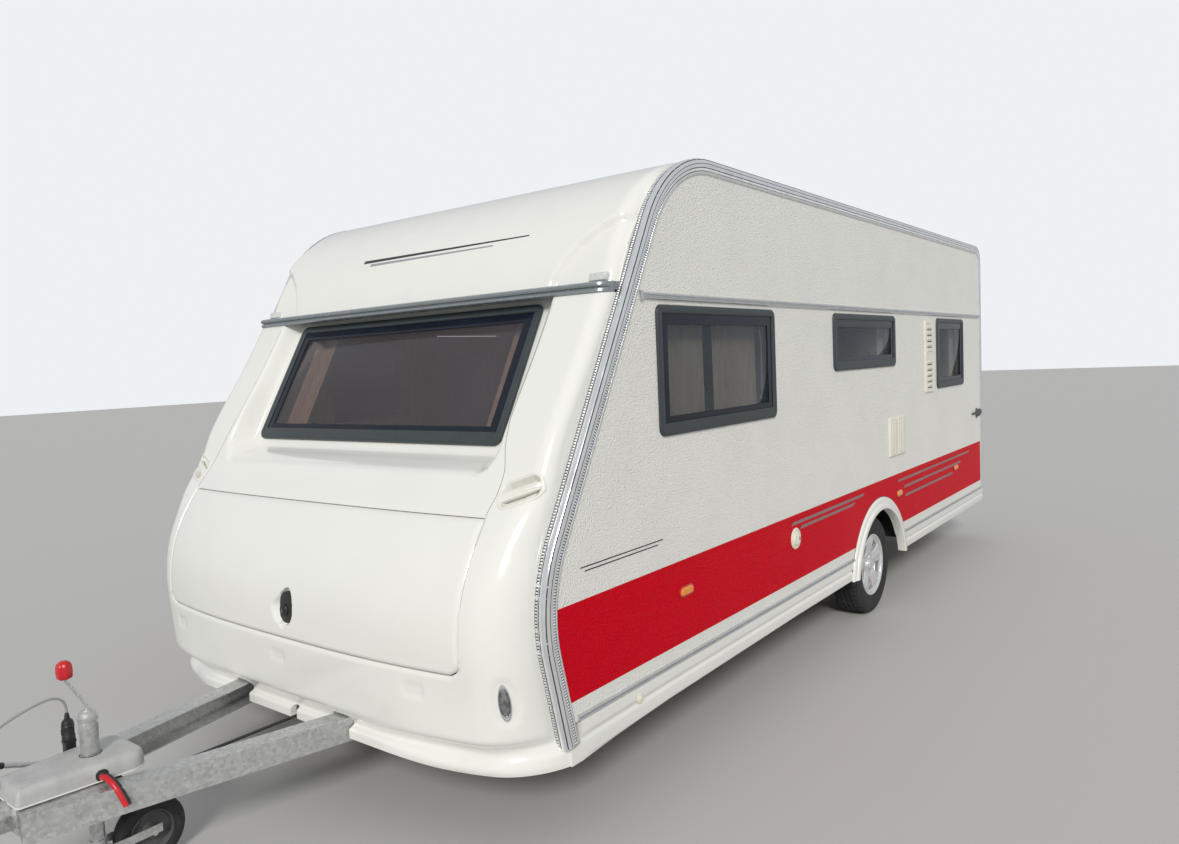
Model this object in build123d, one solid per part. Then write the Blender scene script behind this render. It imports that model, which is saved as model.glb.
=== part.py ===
"""Travel caravan, millimetres. +X is the side without a door, -Y the drawbar end, +Z up, ground at z = 0.

Places along the body are given from the rear wall, negative towards the drawbar, and at() turns
them into model coordinates. Heights are above the ground that the caravan stands on.
"""
from build123d import *
import math
import os

# Overall sizes
REAR_Y = 3870.0
HALF_WIDTH = 1250.0
WALL = 34.0
SKIN = 6.0
INNER_X = HALF_WIDTH - WALL
FLOOR_TOP = 460.0
FLOOR_THICK = 40.0
WALL_FOOT = FLOOR_TOP - 5
GAP = 6.0
BEYOND = 1.0

# Side outline, outer edge of the corner trim: (distance from the rear wall, height)
OUTLINE = [(-6100.0, 360.0), (-6230.0, 936.0), (-5276.0, 2645.0), (0.0, 2645.0), (0.0, 360.0)]
OUTLINE_RADII = [600.0, 600.0, 130.0]
SLANT = (OUTLINE[2][0] - OUTLINE[1][0]) / (OUTLINE[2][1] - OUTLINE[1][1])
TRIM_WIDTH = 65.0
TRIM_PROUD = 7.0
TRIM_RIDGE_PROUD = 11.0
TRIM_BEAD = 10.0
TRIM_FOOT = 370.0
SIDE_X = 1205.0

# Windows: frame width, how far it laps the wall's hole, how proud it stands
FRAME_WIDTH = 62.0
FRAME_LAP = 22.0
FRAME_PROUD = 12.0
FRAME_RADIUS = 45.0
HOLE_RADIUS = 35.0
PANE_LAP = 14.0
PANE_THICK = 6.0
WINDOW_Z1 = 1990.0
WINDOW_Z0 = 1439.0
KITCHEN_Z0 = 1647.0

# Side windows: first y, last y, lowest z, highest z of the outer frame
LEFT_WINDOWS = [
    (-5416.0, -4308.0, WINDOW_Z0, WINDOW_Z1),
    (-3516.0, -2408.0, KITCHEN_Z0, WINDOW_Z1),
    (-1410.0, -633.0, WINDOW_Z0, WINDOW_Z1),
]
RIGHT_WINDOWS = [
    (-5416.0, -4500.0, WINDOW_Z0, WINDOW_Z1),
    (-3300.0, -2408.0, KITCHEN_Z0, WINDOW_Z1),
    (-1410.0, -633.0, WINDOW_Z0, WINDOW_Z1),
]
REAR_WINDOW = (-640.0, 640.0, WINDOW_Z0, WINDOW_Z1)

# Running gear
AXLE_Y = -2765.0
TYRE_R = 325.0
TYRE_WIDTH = 185.0
TYRE_OUTER_X = 1200.0
RIM_R = 190.0
HUB_R = 20.0
DRUM_R = 125.0
BEAM_Y = AXLE_Y - 150.0
BEAM_Z = 275.0
BEAM_R = 45.0
ARM_X = 930.0
ARM_THICK = 35.0
ARCH_R = 457.0
ARCH_EDGE_R = 540.0
ARCH_Z = 246.0
BOX_HALF = 490.0
BOX_TOP = 800.0
BOX_INNER_X = 930.0
BOX_SHEET = 10.0

# Chassis: C-section members, centre line, width, heights and sheet
MEMBER_TIP = (102.0, -7450.0)
MEMBER_BEND = (705.0, -4985.0)
MEMBER_END = (705.0, -260.0)
MEMBER_BEND_R = 150.0
MEMBER_WIDTH = 84.0
MEMBER_Z0 = 322.0
MEMBER_Z1 = 416.0
MEMBER_SHEET = 5.0
MEMBER_MID_Z = (MEMBER_Z0 + MEMBER_Z1) / 2
BRAKE_ROD_X = 45.0
BRAKE_ROD_Z = 347.0
BRAKE_ROD_R = 6.0

# Front mouldings
SHOULDER_X = 1010.0
CENTRE_X = 600.0
SHOULDER_R = 150.0
CENTRE_R = 900.0
RETURN_X = SIDE_X - 12
PANEL_DEEP = 34.0
SKIRT_DEEP = 20.0
LID_THICK = 26.0
BULKHEAD_Y = -5960.0
SPLIT_LOW_Z = 670.0
SPLIT_Z = 1222.0
RAIL_Z0 = 2046.0
RAIL_Z1 = 2070.0
LID_X = 1005.0
LID_Z0 = 685.0
LID_Z1 = 1212.0
LID_RADIUS = 60.0
LID_PIN_Y = -6241.0
LID_PIN_Z = 1217.0
LID_PIN_R = 5.0

# Jockey wheel
JOCKEY_Y = -7190.0
JOCKEY_TUBE_R = 30.0
JOCKEY_LEG_R = 24.0
JOCKEY_WHEEL_R = 125.0
JOCKEY_TRAIL = 175.0
JOCKEY_TUBE_Z0 = 240.0
JOCKEY_TUBE_Z1 = 630.0
JOCKEY_LEG_Z0 = 176.0
JOCKEY_LEG_Z1 = 500.0
CRANK_R = 6.0
CRANK_FOOT_Z = 660.0
KNOB_Z = (765.0, 830.0)
KNOB_R = 14.0
FORK_HALF = 50.0
FORK_SHEET = 6.0

# Coupling
BALL = (0.0, -7700.0, 430.0)
BALL_SOCKET_R = 25.2
HEAD_R = 45.0
HEAD_NOSE_Y = -7780.0
SHAFT_R = 25.0
SHAFT_Z = 385.0
HOUSING_Z = 378.0
HOUSING_R = 50.0
HOUSING_Y = (-7560.0, -7300.0)

# Door on the -X side
DOOR_Y0 = -4350.0
DOOR_Y1 = -3730.0
DOOR_Z0 = 400.0
DOOR_Z1 = 1985.0
DOOR_PIN_X = -1264.0
DOOR_PROUD = 6.0
DOOR_STILE = 110.0
DOOR_PANE_Z = (1461.0, 1868.0)
DOOR_HANDLE = (-3840.0, -3770.0, 1130.0, 1250.0)
DOOR_HANDLE_PROUD = 26.0
HINGE_Z = (620.0, 1200.0, 1780.0)
KNUCKLE_R = 7.0
KNUCKLE_LENGTH = 40.0

# Corner steadies
STEADY_X = 960.0
STEADY_Z = 372.0
STEADY_LENGTH = 400.0
STEADY_HALF = 25.0
STEADY_PIN_R = 8.0
STEADY_FOOT = (24.0, 110.0)

NODES = {}


def at(y):
    """Model y of a place given from the rear wall."""
    return REAR_Y + y


def node(name, *solids):
    """Keep the solids of one piece under its name."""
    NODES[name] = solids[0] if len(solids) == 1 else Compound(list(solids))


def box(x0, x1, y0, y1, z0, z1):
    """Box between limits, y from the rear wall."""
    return Pos((x0 + x1) / 2, at((y0 + y1) / 2), (z0 + z1) / 2) * Box(x1 - x0, y1 - y0, z1 - z0)


def side_prism(face, x0, x1):
    """Extrude a face drawn in (model y, z) between two x values."""
    return extrude(Plane.YZ.offset(x0) * face, amount=x1 - x0)


def front_prism(face, y0, y1):
    """Extrude a face drawn in (x, z) between two y values from the rear wall."""
    return extrude(Plane.XZ.offset(-at(y0)) * face, amount=-(y1 - y0))


def mirror_x(solid):
    return mirror(solid, about=Plane.YZ)


def both(solid):
    """A piece and its twin on the other side."""
    return [solid, mirror_x(solid)]


def rod(radius, start, end):
    """Round bar between two points, y from the rear wall."""
    origin = Vector(start[0], at(start[1]), start[2])
    line = Vector(end[0], at(end[1]), end[2]) - origin
    return extrude(Plane(origin=origin, z_dir=line) * Circle(radius), amount=line.length)


def area(y0, y1, z0, z1):
    """Rectangle in (model y, z), y from the rear wall."""
    return Pos(at((y0 + y1) / 2), (z0 + z1) / 2) * Rectangle(y1 - y0, z1 - z0)


def rounded_area(y0, y1, z0, z1, radius):
    return Pos(at((y0 + y1) / 2), (z0 + z1) / 2) * RectangleRounded(y1 - y0, z1 - z0, radius)


def outline_points(inset, bottom):
    """Corners of the side outline moved inwards, in (model y, z)."""
    corners = [(at(y), z) for y, z in OUTLINE]
    lines = []
    for (y0, z0), (y1, z1) in zip(corners, corners[1:]):
        length = math.hypot(y1 - y0, z1 - z0)
        along = ((y1 - y0) / length, (z1 - z0) / length)
        lines.append((y0 + along[1] * inset, z0 - along[0] * inset, *along))
    first = lines[0]
    reach = (bottom - first[1]) / first[3]
    moved = [(first[0] + reach * first[2], bottom)]
    for before, line in zip(lines, lines[1:]):
        cross = before[2] * line[3] - before[3] * line[2]
        reach = ((line[0] - before[0]) * line[3] - (line[1] - before[1]) * line[2]) / cross
        moved.append((before[0] + reach * before[2], before[1] + reach * before[3]))
    moved.append((lines[-1][0], bottom))
    return moved


def outline_face(inset, bottom=OUTLINE[0][1]):
    """Side outline, moved inwards, as a face in (model y, z)."""
    points = outline_points(inset, bottom)
    edge = FilletPolyline(*points, radius=[radius - inset for radius in OUTLINE_RADII])
    return make_face(edge + Line(points[-1], points[0]))


def wall(windows, door):
    """One side wall with its windows, wheel arch and doorway cut, drawn on the +X side."""
    face = outline_face(SKIN, WALL_FOOT)
    for y0, y1, z0, z1 in windows:
        face -= rounded_area(y0 + FRAME_LAP, y1 - FRAME_LAP, z0 + FRAME_LAP, z1 - FRAME_LAP, HOLE_RADIUS)
    face -= Pos(at(AXLE_Y), ARCH_Z) * Circle(ARCH_R)
    if door:
        face -= area(DOOR_Y0 - GAP, DOOR_Y1 + GAP, WALL_FOOT - GAP, DOOR_Z1 + GAP)
    return side_prism(face, INNER_X, HALF_WIDTH)


def frame_ring(width, height):
    """Window frame, centred."""
    outer = RectangleRounded(width, height, FRAME_RADIUS)
    return outer - RectangleRounded(width - 2 * FRAME_WIDTH, height - 2 * FRAME_WIDTH, HOLE_RADIUS)


def pane_face(width, height):
    """Pane behind a window frame, centred."""
    lap = 2 * (FRAME_WIDTH - PANE_LAP)
    return RectangleRounded(width - lap, height - lap, HOLE_RADIUS)


def hole_face(width, height):
    """Hole in the wall behind a window frame, centred."""
    return RectangleRounded(width - 2 * FRAME_LAP, height - 2 * FRAME_LAP, HOLE_RADIUS)


# Cabin walls and roof
door_knuckles = []
door_parts = []
door_pin_y = at(DOOR_Y0 - BEYOND)
for z in HINGE_Z:
    low = z - KNUCKLE_LENGTH / 2 - 2
    high = z + KNUCKLE_LENGTH / 2 + 2
    wall_leaf = Pos(DOOR_PIN_X + 9, door_pin_y - 20, low) * Box(12, 32, KNUCKLE_LENGTH)
    door_knuckles.append(Pos(DOOR_PIN_X, door_pin_y, low) * Cylinder(KNUCKLE_R, KNUCKLE_LENGTH) + wall_leaf
                         + Pos(DOOR_PIN_X + 5, door_pin_y - 14, low) * Box(6, 28, KNUCKLE_LENGTH))
    door_parts.append(Pos(DOOR_PIN_X, door_pin_y, high) * Cylinder(KNUCKLE_R, KNUCKLE_LENGTH)
                      + Pos(DOOR_PIN_X + 5, door_pin_y + 16, high) * Box(8, 32, KNUCKLE_LENGTH))
wall_right = mirror_x(wall(RIGHT_WINDOWS, True))
for knuckle in door_knuckles:
    wall_right += knuckle
node("wall_left", wall(LEFT_WINDOWS, False))
node("wall_right", wall_right)

CAP_CENTRE = (-4905.0, 1855.0)
CAP_R = 790.0
roof_face = (outline_face(SKIN) - outline_face(SKIN + WALL)) & area(CAP_CENTRE[0], 0, 2450, 2700)
node("roof", side_prism(roof_face, -INNER_X, INNER_X))

ROOF_CORNER_Z = 2450.0
x0, x1, z0, z1 = REAR_WINDOW
rear_centre = Pos((x0 + x1) / 2, (z0 + z1) / 2)
rear_face = Pos(0, (WALL_FOOT + ROOF_CORNER_Z) / 2) * Rectangle(2 * INNER_X, ROOF_CORNER_Z - WALL_FOOT)
rear_face -= rear_centre * hole_face(x1 - x0, z1 - z0)
node("rear_panel", front_prism(rear_face, -SKIN - WALL, -SKIN))

frames = [front_prism(rear_centre * frame_ring(x1 - x0, z1 - z0), -SKIN, FRAME_PROUD - SKIN)]
panes = [front_prism(rear_centre * pane_face(x1 - x0, z1 - z0), -SKIN - PANE_THICK, -SKIN)]
for table, flip in ((LEFT_WINDOWS, False), (RIGHT_WINDOWS, True)):
    for y0, y1, z0, z1 in table:
        centre = Pos(at((y0 + y1) / 2), (z0 + z1) / 2)
        frame = side_prism(centre * frame_ring(y1 - y0, z1 - z0), HALF_WIDTH, HALF_WIDTH + FRAME_PROUD)
        pane = side_prism(centre * pane_face(y1 - y0, z1 - z0), HALF_WIDTH - PANE_THICK, HALF_WIDTH)
        frames.append(mirror_x(frame) if flip else frame)
        panes.append(mirror_x(pane) if flip else pane)

# Floor with its wheel boxes
floor = box(-INNER_X, INNER_X, BULKHEAD_Y, -SKIN - WALL, FLOOR_TOP - FLOOR_THICK, FLOOR_TOP)
well = box(BOX_INNER_X, INNER_X + BEYOND, AXLE_Y - BOX_HALF, AXLE_Y + BOX_HALF, FLOOR_TOP - 60, FLOOR_TOP + 40)
node("floor", floor - well - mirror_x(well))
wheel_box = box(BOX_INNER_X, INNER_X, AXLE_Y - BOX_HALF, AXLE_Y + BOX_HALF, FLOOR_TOP - FLOOR_THICK, BOX_TOP)
wheel_box -= box(
    BOX_INNER_X + BOX_SHEET, INNER_X + BEYOND, AXLE_Y - BOX_HALF + BOX_SHEET, AXLE_Y + BOX_HALF - BOX_SHEET,
    FLOOR_TOP - FLOOR_THICK - BEYOND, BOX_TOP - BOX_SHEET)
node("wheel_boxes", *both(wheel_box))

# Front mouldings, sections from below: height, y at the centre, at the shoulder and at the corner, corner radius
PANEL_SECTIONS = [
    (1222.0, -6236.0, -6214.0, -6200.0, 100.0),
    (1345.0, -6122.0, -6114.0, -6108.0, 70.0),
    (1446.0, -6070.0, -6064.0, -6060.0, 60.0),
    (1726.0, -5895.0, -5889.0, -5884.0, 60.0),
    (2046.0, -5699.0, -5692.0, -5686.0, 60.0),
]
LOCKER_SECTIONS = [
    (670.0, -6440.0, -6379.0, -6347.0, 165.0),
    (810.0, -6434.0, -6383.0, -6348.0, 165.0),
    (908.0, -6420.0, -6370.0, -6335.0, 160.0),
    (985.0, -6396.0, -6348.0, -6314.0, 150.0),
    (1101.0, -6330.0, -6294.0, -6262.0, 130.0),
    (1222.0, -6236.0, -6214.0, -6200.0, 100.0),
]
SKIRT_SECTIONS = [
    (300.0, -6385.0, -6305.0, -6225.0, 170.0),
    (330.0, -6395.0, -6315.0, -6235.0, 170.0),
    (375.0, -6350.0, -6290.0, -6220.0, 170.0),
    (440.0, -6432.0, -6366.0, -6300.0, 170.0),
    (500.0, -6436.0, -6372.0, -6318.0, 170.0),
    (670.0, -6440.0, -6379.0, -6347.0, 165.0),
]
RAIL_SECTION = (RAIL_Z0, -5712.0, -5705.0, -5699.0, 60.0)
NOSE_FRONT_Y = -6700.0


def nose_face(section, back):
    """Plan section of the front moulding: bowed across the front, rounded into the side faces."""
    height, centre, shoulder, corner, radius = section
    half = [(SIDE_X, at(back)), (SIDE_X, at(corner)), (SHOULDER_X, at(shoulder)), (CENTRE_X, at(centre))]
    points = half + [(-x, y) for x, y in reversed(half)]
    radii = [radius, SHOULDER_R, CENTRE_R]
    edge = FilletPolyline(*points, radius=radii + radii[::-1])
    return Pos(0, 0, height) * make_face(edge + Line(points[-1], points[0]))


side_core = side_prism(outline_face(0, 290), -SIDE_X, SIDE_X)


def filled(solid, z0, z1):
    """Bring a moulding out to the side outline where its rounded corner falls behind it."""
    return solid + (side_core & box(-SIDE_X, SIDE_X, NOSE_FRONT_Y, BULKHEAD_Y, z0, z1))


def nose(sections, back):
    body = loft([nose_face(section, back) for section in sections], ruled=True)
    return filled(body, sections[0][0], sections[-1][0])


def hollow(solid, depth, z0, z1):
    """Take the inside out, between two heights, and leave a front of the given depth."""
    return solid - ((Pos(0, depth, 0) * solid) & box(-RETURN_X, RETURN_X, NOSE_FRONT_Y, -4000, z0, z1))


cabin_space = side_prism(outline_face(SKIN + WALL, 290), -SIDE_X - BEYOND, SIDE_X + BEYOND)

# Front panel: a dished recess holds the window in its plane
RECESS_HALF = 895.0
RECESS_SPAN = (-359.0, 400.0)
RECESS_RADIUS = 55.0
RECESS_DRAFT = 30.0
FRONT_WINDOW = (1696.0, 647.0)
FRONT_WINDOW_Z = 1728.5
window_y = OUTLINE[1][0] + (FRONT_WINDOW_Z - OUTLINE[1][1]) * SLANT
window_plane = Plane(origin=(0, at(window_y), FRONT_WINDOW_Z), x_dir=(1, 0, 0), z_dir=(0, -1, SLANT))
recess_face = Pos(0, sum(RECESS_SPAN) / 2) * RectangleRounded(
    2 * RECESS_HALF, RECESS_SPAN[1] - RECESS_SPAN[0], RECESS_RADIUS)
recess = extrude(window_plane * recess_face, amount=220, taper=-RECESS_DRAFT)
panel_skin = nose(PANEL_SECTIONS, -5400) - recess
panel = hollow(panel_skin, PANEL_DEEP, SPLIT_Z - BEYOND, RAIL_Z0 + BEYOND) - cabin_space

# Hand holds in the front corners: a slanted cup with a bar across it
HANDLE_X = 1112.0
HANDLE_Z = 1314.0
HANDLE_TILT = 18.0
HANDLE_HALF = (90.0, 50.0)
HANDLE_DEEP = 26.0
HANDLE_BAR = 24.0
handle_bars = []
for side in (1, -1):
    place = Pos(side * HANDLE_X, HANDLE_Z) * Rot(0, 0, side * HANDLE_TILT)
    cup = front_prism(place * Ellipse(*HANDLE_HALF), NOSE_FRONT_Y, BULKHEAD_Y) & panel_skin
    bar = front_prism(place * Rectangle(3 * HANDLE_HALF[0], HANDLE_BAR), NOSE_FRONT_Y, BULKHEAD_Y) & cup
    handle_bars.append(bar - Pos(0, HANDLE_DEEP / 2, 0) * panel_skin)
    panel -= cup - Pos(0, HANDLE_DEEP, 0) * panel_skin
panel -= extrude(window_plane.offset(-80) * hole_face(*FRONT_WINDOW), amount=90)
PANEL_LEDGE = 18.0
panel += box(-SIDE_X, SIDE_X, -6195, BULKHEAD_Y, SPLIT_Z, SPLIT_Z + PANEL_LEDGE) & panel_skin
frames.append(extrude(window_plane * frame_ring(*FRONT_WINDOW), amount=18))
panes.append(extrude(window_plane.offset(-PANE_THICK) * pane_face(*FRONT_WINDOW), amount=PANE_THICK))
node("window_frames", *frames)
node("window_panes", *panes)

# Rain rail between the front panel and the cap
RAIL_DEEP = 120.0
rail_face = nose_face(RAIL_SECTION, -5500)
rail = filled(extrude(rail_face, amount=RAIL_Z1 - RAIL_Z0), RAIL_Z0, RAIL_Z1)
node("rain_rail", rail & box(-SIDE_X, SIDE_X, NOSE_FRONT_Y, RAIL_SECTION[1] + RAIL_DEEP, RAIL_Z0, RAIL_Z1))

# Cap from the rain rail over to the roof, with lower cheeks outside a crease
CAP_DEGREES = math.degrees(math.acos((RAIL_Z1 - CAP_CENTRE[1]) / CAP_R))
CAP_CORNER_R = 60.0
CHEEK_DROP = 25.0


def cap_face(inset):
    """Side profile of the cap: one arc from the rail to the roof."""
    centre = (at(CAP_CENTRE[0]), CAP_CENTRE[1])
    arc = CenterArc(centre, CAP_R - inset, 90, CAP_DEGREES + 5)
    line = Polyline(arc @ 1, (centre[0] + BEYOND, (arc @ 1).Y), (centre[0] + BEYOND, (arc @ 0).Y), arc @ 0)
    return make_face(arc + line) & area(-6200, CAP_CENTRE[0], RAIL_Z1, 2700)


cap = side_prism(cap_face(0), -SIDE_X, SIDE_X)
cap_full = cap
cap = fillet(cap.edges().filter_by(GeomType.CIRCLE), radius=CAP_CORNER_R)
cheek_edge = ThreePointArc((885, 2105), (985, 2255), (1170, 2370))
cheek_face = make_face(cheek_edge + Polyline((1170, 2370), (1260, 2440), (1260, 2060), (885, 2060), (885, 2105)))
cheek = extrude(Plane.XZ.offset(-at(-5900)) * cheek_face, amount=-1000)
for prism in both(cheek):
    cap -= (prism & cap) - Pos(0, CHEEK_DROP, -CHEEK_DROP / 3) * cap
cap_skin = cap + (cap_full & side_core)
node("front_cap", cap_skin - side_prism(cap_face(PANEL_DEEP), -RETURN_X, RETURN_X) - cabin_space)

# Gas locker: a tub with its bulkhead behind, and the lid hinged along its top
nose_low = nose(LOCKER_SECTIONS, BULKHEAD_Y)
LOCKER_BOARD = 30.0
SHELL_EDGE = 15.0
opening = front_prism(
    Pos(0, (LID_Z0 - GAP + SPLIT_Z + 60) / 2) * RectangleRounded(
        2 * (LID_X + GAP), SPLIT_Z + 60 - LID_Z0 + GAP, LID_RADIUS + GAP), NOSE_FRONT_Y, -6050)
tub_space = box(
    -RETURN_X, RETURN_X, NOSE_FRONT_Y, BULKHEAD_Y - LOCKER_BOARD, SPLIT_LOW_Z + SHELL_EDGE, SPLIT_Z + BEYOND)
node("front_locker", nose_low - ((Pos(0, SKIRT_DEEP, 0) * nose_low) & tub_space) - opening)

lid_prism = front_prism(
    Pos(0, (LID_Z0 + LID_Z1 + 60) / 2) * RectangleRounded(2 * LID_X, LID_Z1 + 60 - LID_Z0, LID_RADIUS),
    NOSE_FRONT_Y, -6000) & box(-LID_X, LID_X, NOSE_FRONT_Y, -6000, LID_Z0, LID_Z1)
lid = (nose_low & lid_prism) - Pos(0, LID_THICK, 0) * nose_low
LOCK_Z = 820.0
LOCK_FLOOR_Y = -6412.0
lid -= front_prism(Pos(0, LOCK_Z) * Ellipse(52, 80), NOSE_FRONT_Y, LOCK_FLOOR_Y)
lid += rod(18, (0, LOCK_FLOOR_Y - 18, LOCK_Z - 15), (0, LOCK_FLOOR_Y + 1, LOCK_Z - 15))
LID_HINGES_X = (-520.0, 520.0)
for x in LID_HINGES_X:
    near, far = (x - 62, x - 2), (x + 2, x + 62)
    lid += rod(LID_PIN_R, (near[0], LID_PIN_Y, LID_PIN_Z), (near[1], LID_PIN_Y, LID_PIN_Z))
    lid += box(*near, LID_PIN_Y - 5, LID_PIN_Y + 5, LID_PIN_Z - 12, LID_PIN_Z - 3)
    panel += rod(LID_PIN_R, (far[0], LID_PIN_Y, LID_PIN_Z), (far[1], LID_PIN_Y, LID_PIN_Z))
    panel += box(*far, LID_PIN_Y - 4, LID_PIN_Y + 16, LID_PIN_Z + 2, LID_PIN_Z + 9)
node("front_panel", panel)
node("locker_lid", lid)

# Front skirt and bumper below the locker
skirt_skin = nose(SKIRT_SECTIONS, BULKHEAD_Y)
skirt = hollow(skirt_skin, SKIRT_DEEP, 290, SPLIT_LOW_Z - SHELL_EDGE)
skirt -= box(-RETURN_X, RETURN_X, BULKHEAD_Y - 30, BULKHEAD_Y + BEYOND, 290, FLOOR_TOP)
MEMBER_SLOT = (270.0, 440.0, 280.0, 431.0)
ROD_SLOT = (25.0, 65.0, 280.0, 375.0)
for x0, x1, z0, z1 in (MEMBER_SLOT, (-MEMBER_SLOT[1], -MEMBER_SLOT[0], *MEMBER_SLOT[2:]), ROD_SLOT):
    skirt -= box(x0, x1, NOSE_FRONT_Y, -6180, z0, z1)
node("front_skirt", skirt)

# Corner trims, wrapped round the edge of the side walls: a leg in front and a ridged leg on the side
below_trim = area(OUTLINE[0][0] + 150, BEYOND, 300, WALL_FOOT)
between_feet = area(OUTLINE[0][0] + 150, -TRIM_WIDTH, 300, 520)


def trim_leg(outer, inner):
    return outline_face(outer, TRIM_FOOT) - outline_face(inner, TRIM_FOOT) - below_trim


trim = side_prism(trim_leg(0, TRIM_WIDTH) - between_feet, HALF_WIDTH, HALF_WIDTH + TRIM_PROUD)
ridge_face = trim_leg(TRIM_BEAD, TRIM_WIDTH - TRIM_BEAD) - between_feet
trim += side_prism(ridge_face, HALF_WIDTH + BEYOND, HALF_WIDTH + TRIM_RIDGE_PROUD)
trim += side_prism(trim_leg(0, SKIN), SIDE_X, HALF_WIDTH + BEYOND)
node("corner_trims", *both(trim))

# Rails, skirts and arches along the sides
AWNING_RAIL = (-5528.0, -70.0, 2011.0, 2035.0)
LOWER_RAIL = (-6037.0, -70.0, 457.0, 479.0)
RAIL_PROUD = 12.0
SIDE_SKIRT_Z0 = 305.0
doorway = box(
    -HALF_WIDTH - 50, -HALF_WIDTH + 50, DOOR_Y0 - GAP, DOOR_Y1 + GAP, DOOR_Z0 - GAP, FLOOR_TOP + 40)
arch_space = Pos(at(AXLE_Y), ARCH_Z) * Circle(ARCH_EDGE_R - 2)
node("awning_rails", *both(box(HALF_WIDTH, HALF_WIDTH + RAIL_PROUD, *AWNING_RAIL)))
lower_rail = side_prism(area(*LOWER_RAIL) - arch_space, HALF_WIDTH, HALF_WIDTH + RAIL_PROUD)
node("lower_rails", *lower_rail.solids(), *(mirror_x(lower_rail) - doorway).solids())
skirt_face = area(-6020, 0, SIDE_SKIRT_Z0, WALL_FOOT - BEYOND) - arch_space
skirt_face += area(-6078, -6019, SIDE_SKIRT_Z0, TRIM_FOOT - GAP)
side_skirt = side_prism(skirt_face, HALF_WIDTH - 26, HALF_WIDTH + 4)
node("side_skirts", *side_skirt.solids(), *(mirror_x(side_skirt) - doorway).solids())
arch_ring = Circle(ARCH_EDGE_R - 3) - Circle(ARCH_R)
arch_face = (Pos(at(AXLE_Y), ARCH_Z) * arch_ring) & area(AXLE_Y - 700, AXLE_Y + 700, SIDE_SKIRT_Z0, 900)
node("wheel_arches", *both(side_prism(arch_face, HALF_WIDTH, HALF_WIDTH + 26)))
BUMPER_END_Y = 40.0
bumper = box(-INNER_X, INNER_X, -SKIN - WALL, BUMPER_END_Y, 320, WALL_FOOT - BEYOND)
bumper += box(-SIDE_X + BEYOND, SIDE_X - BEYOND, -SKIN, BUMPER_END_Y, 440, 520)
node("rear_skirt", fillet(bumper.edges().filter_by(Axis.X).sort_by(Axis.Y)[-2:], radius=20))

# Side fittings on the left wall: y0, y1, z0, z1, and how far each stands proud
TALL_VENT = (-1717.0, -1509.0, 1420.0, 1966.0)
LOW_VENT = (-2565.0, -2235.0, 1026.0, 1293.0)
SIDE_LATCH = (-120.0, -70.0, 1110.0, 1210.0)
FITTING_PROUD = 14.0
FILLER = (-4110.0, 765.0, 56.0)
AWNING_LAMP = (-4210.0, -3870.0, 2062.0, 2118.0)
VENT_SLATS = 11
tall_vent = box(HALF_WIDTH, HALF_WIDTH + FITTING_PROUD, *TALL_VENT)
slat_pitch = (TALL_VENT[3] - TALL_VENT[2] - 60) / VENT_SLATS
for index in range(VENT_SLATS):
    slot_z = TALL_VENT[2] + 30 + slat_pitch * (index + 0.5)
    tall_vent -= box(HALF_WIDTH + 9, HALF_WIDTH + 20, TALL_VENT[0] + 45, TALL_VENT[1] - 45, slot_z - 7, slot_z + 7)
low_vent = box(HALF_WIDTH, HALF_WIDTH + FITTING_PROUD, *LOW_VENT)
low_vent -= box(HALF_WIDTH + 4, HALF_WIDTH + 20, LOW_VENT[0] + 150, LOW_VENT[0] + 172, *LOW_VENT[2:])
latch = box(HALF_WIDTH, HALF_WIDTH + FITTING_PROUD, *SIDE_LATCH)
filler = side_prism(Pos(at(FILLER[0]), FILLER[1]) * Circle(FILLER[2]), HALF_WIDTH, HALF_WIDTH + 8)
filler += side_prism(Pos(at(FILLER[0]), FILLER[1]) * Circle(40), HALF_WIDTH, HALF_WIDTH + FITTING_PROUD)
awning_lamp = mirror_x(box(HALF_WIDTH, HALF_WIDTH + 30, *AWNING_LAMP))
node("side_fittings", tall_vent, low_vent, latch, filler, awning_lamp)

# Hand holds: bars in the front cups and grips at the rear corners
REAR_GRIP = (1078.0, 1102.0, 1000.0, 1240.0)
GRIP_PROUD = 34.0
rear_grip = box(*REAR_GRIP[:2], -SKIN, GRIP_PROUD, *REAR_GRIP[2:])
rear_grip -= box(REAR_GRIP[0] - 8, REAR_GRIP[1] + 8, -SKIN - BEYOND, GRIP_PROUD - 20, REAR_GRIP[2] + 30, REAR_GRIP[3] - 30)
node("grab_handles", *handle_bars, *both(rear_grip))

# Curtains drawn to the sides of the windows, and the rails that carry them: side, first y, last y, z0, z1
CURTAINS = [
    (1, -5390.0, -4965.0, WINDOW_Z0, WINDOW_Z1), (1, -4880.0, -4460.0, WINDOW_Z0, WINDOW_Z1),
    (1, -3496.0, -3356.0, KITCHEN_Z0, WINDOW_Z1), (1, -2568.0, -2428.0, KITCHEN_Z0, WINDOW_Z1),
    (1, -1390.0, -1300.0, WINDOW_Z0, WINDOW_Z1), (1, -800.0, -653.0, WINDOW_Z0, WINDOW_Z1),
    (-1, -5396.0, -5256.0, WINDOW_Z0, WINDOW_Z1), (-1, -4660.0, -4520.0, WINDOW_Z0, WINDOW_Z1),
    (-1, -3280.0, -3140.0, KITCHEN_Z0, WINDOW_Z1), (-1, -2568.0, -2428.0, KITCHEN_Z0, WINDOW_Z1),
    (-1, -1390.0, -1250.0, WINDOW_Z0, WINDOW_Z1), (-1, -793.0, -653.0, WINDOW_Z0, WINDOW_Z1),
]
curtains = []
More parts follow.
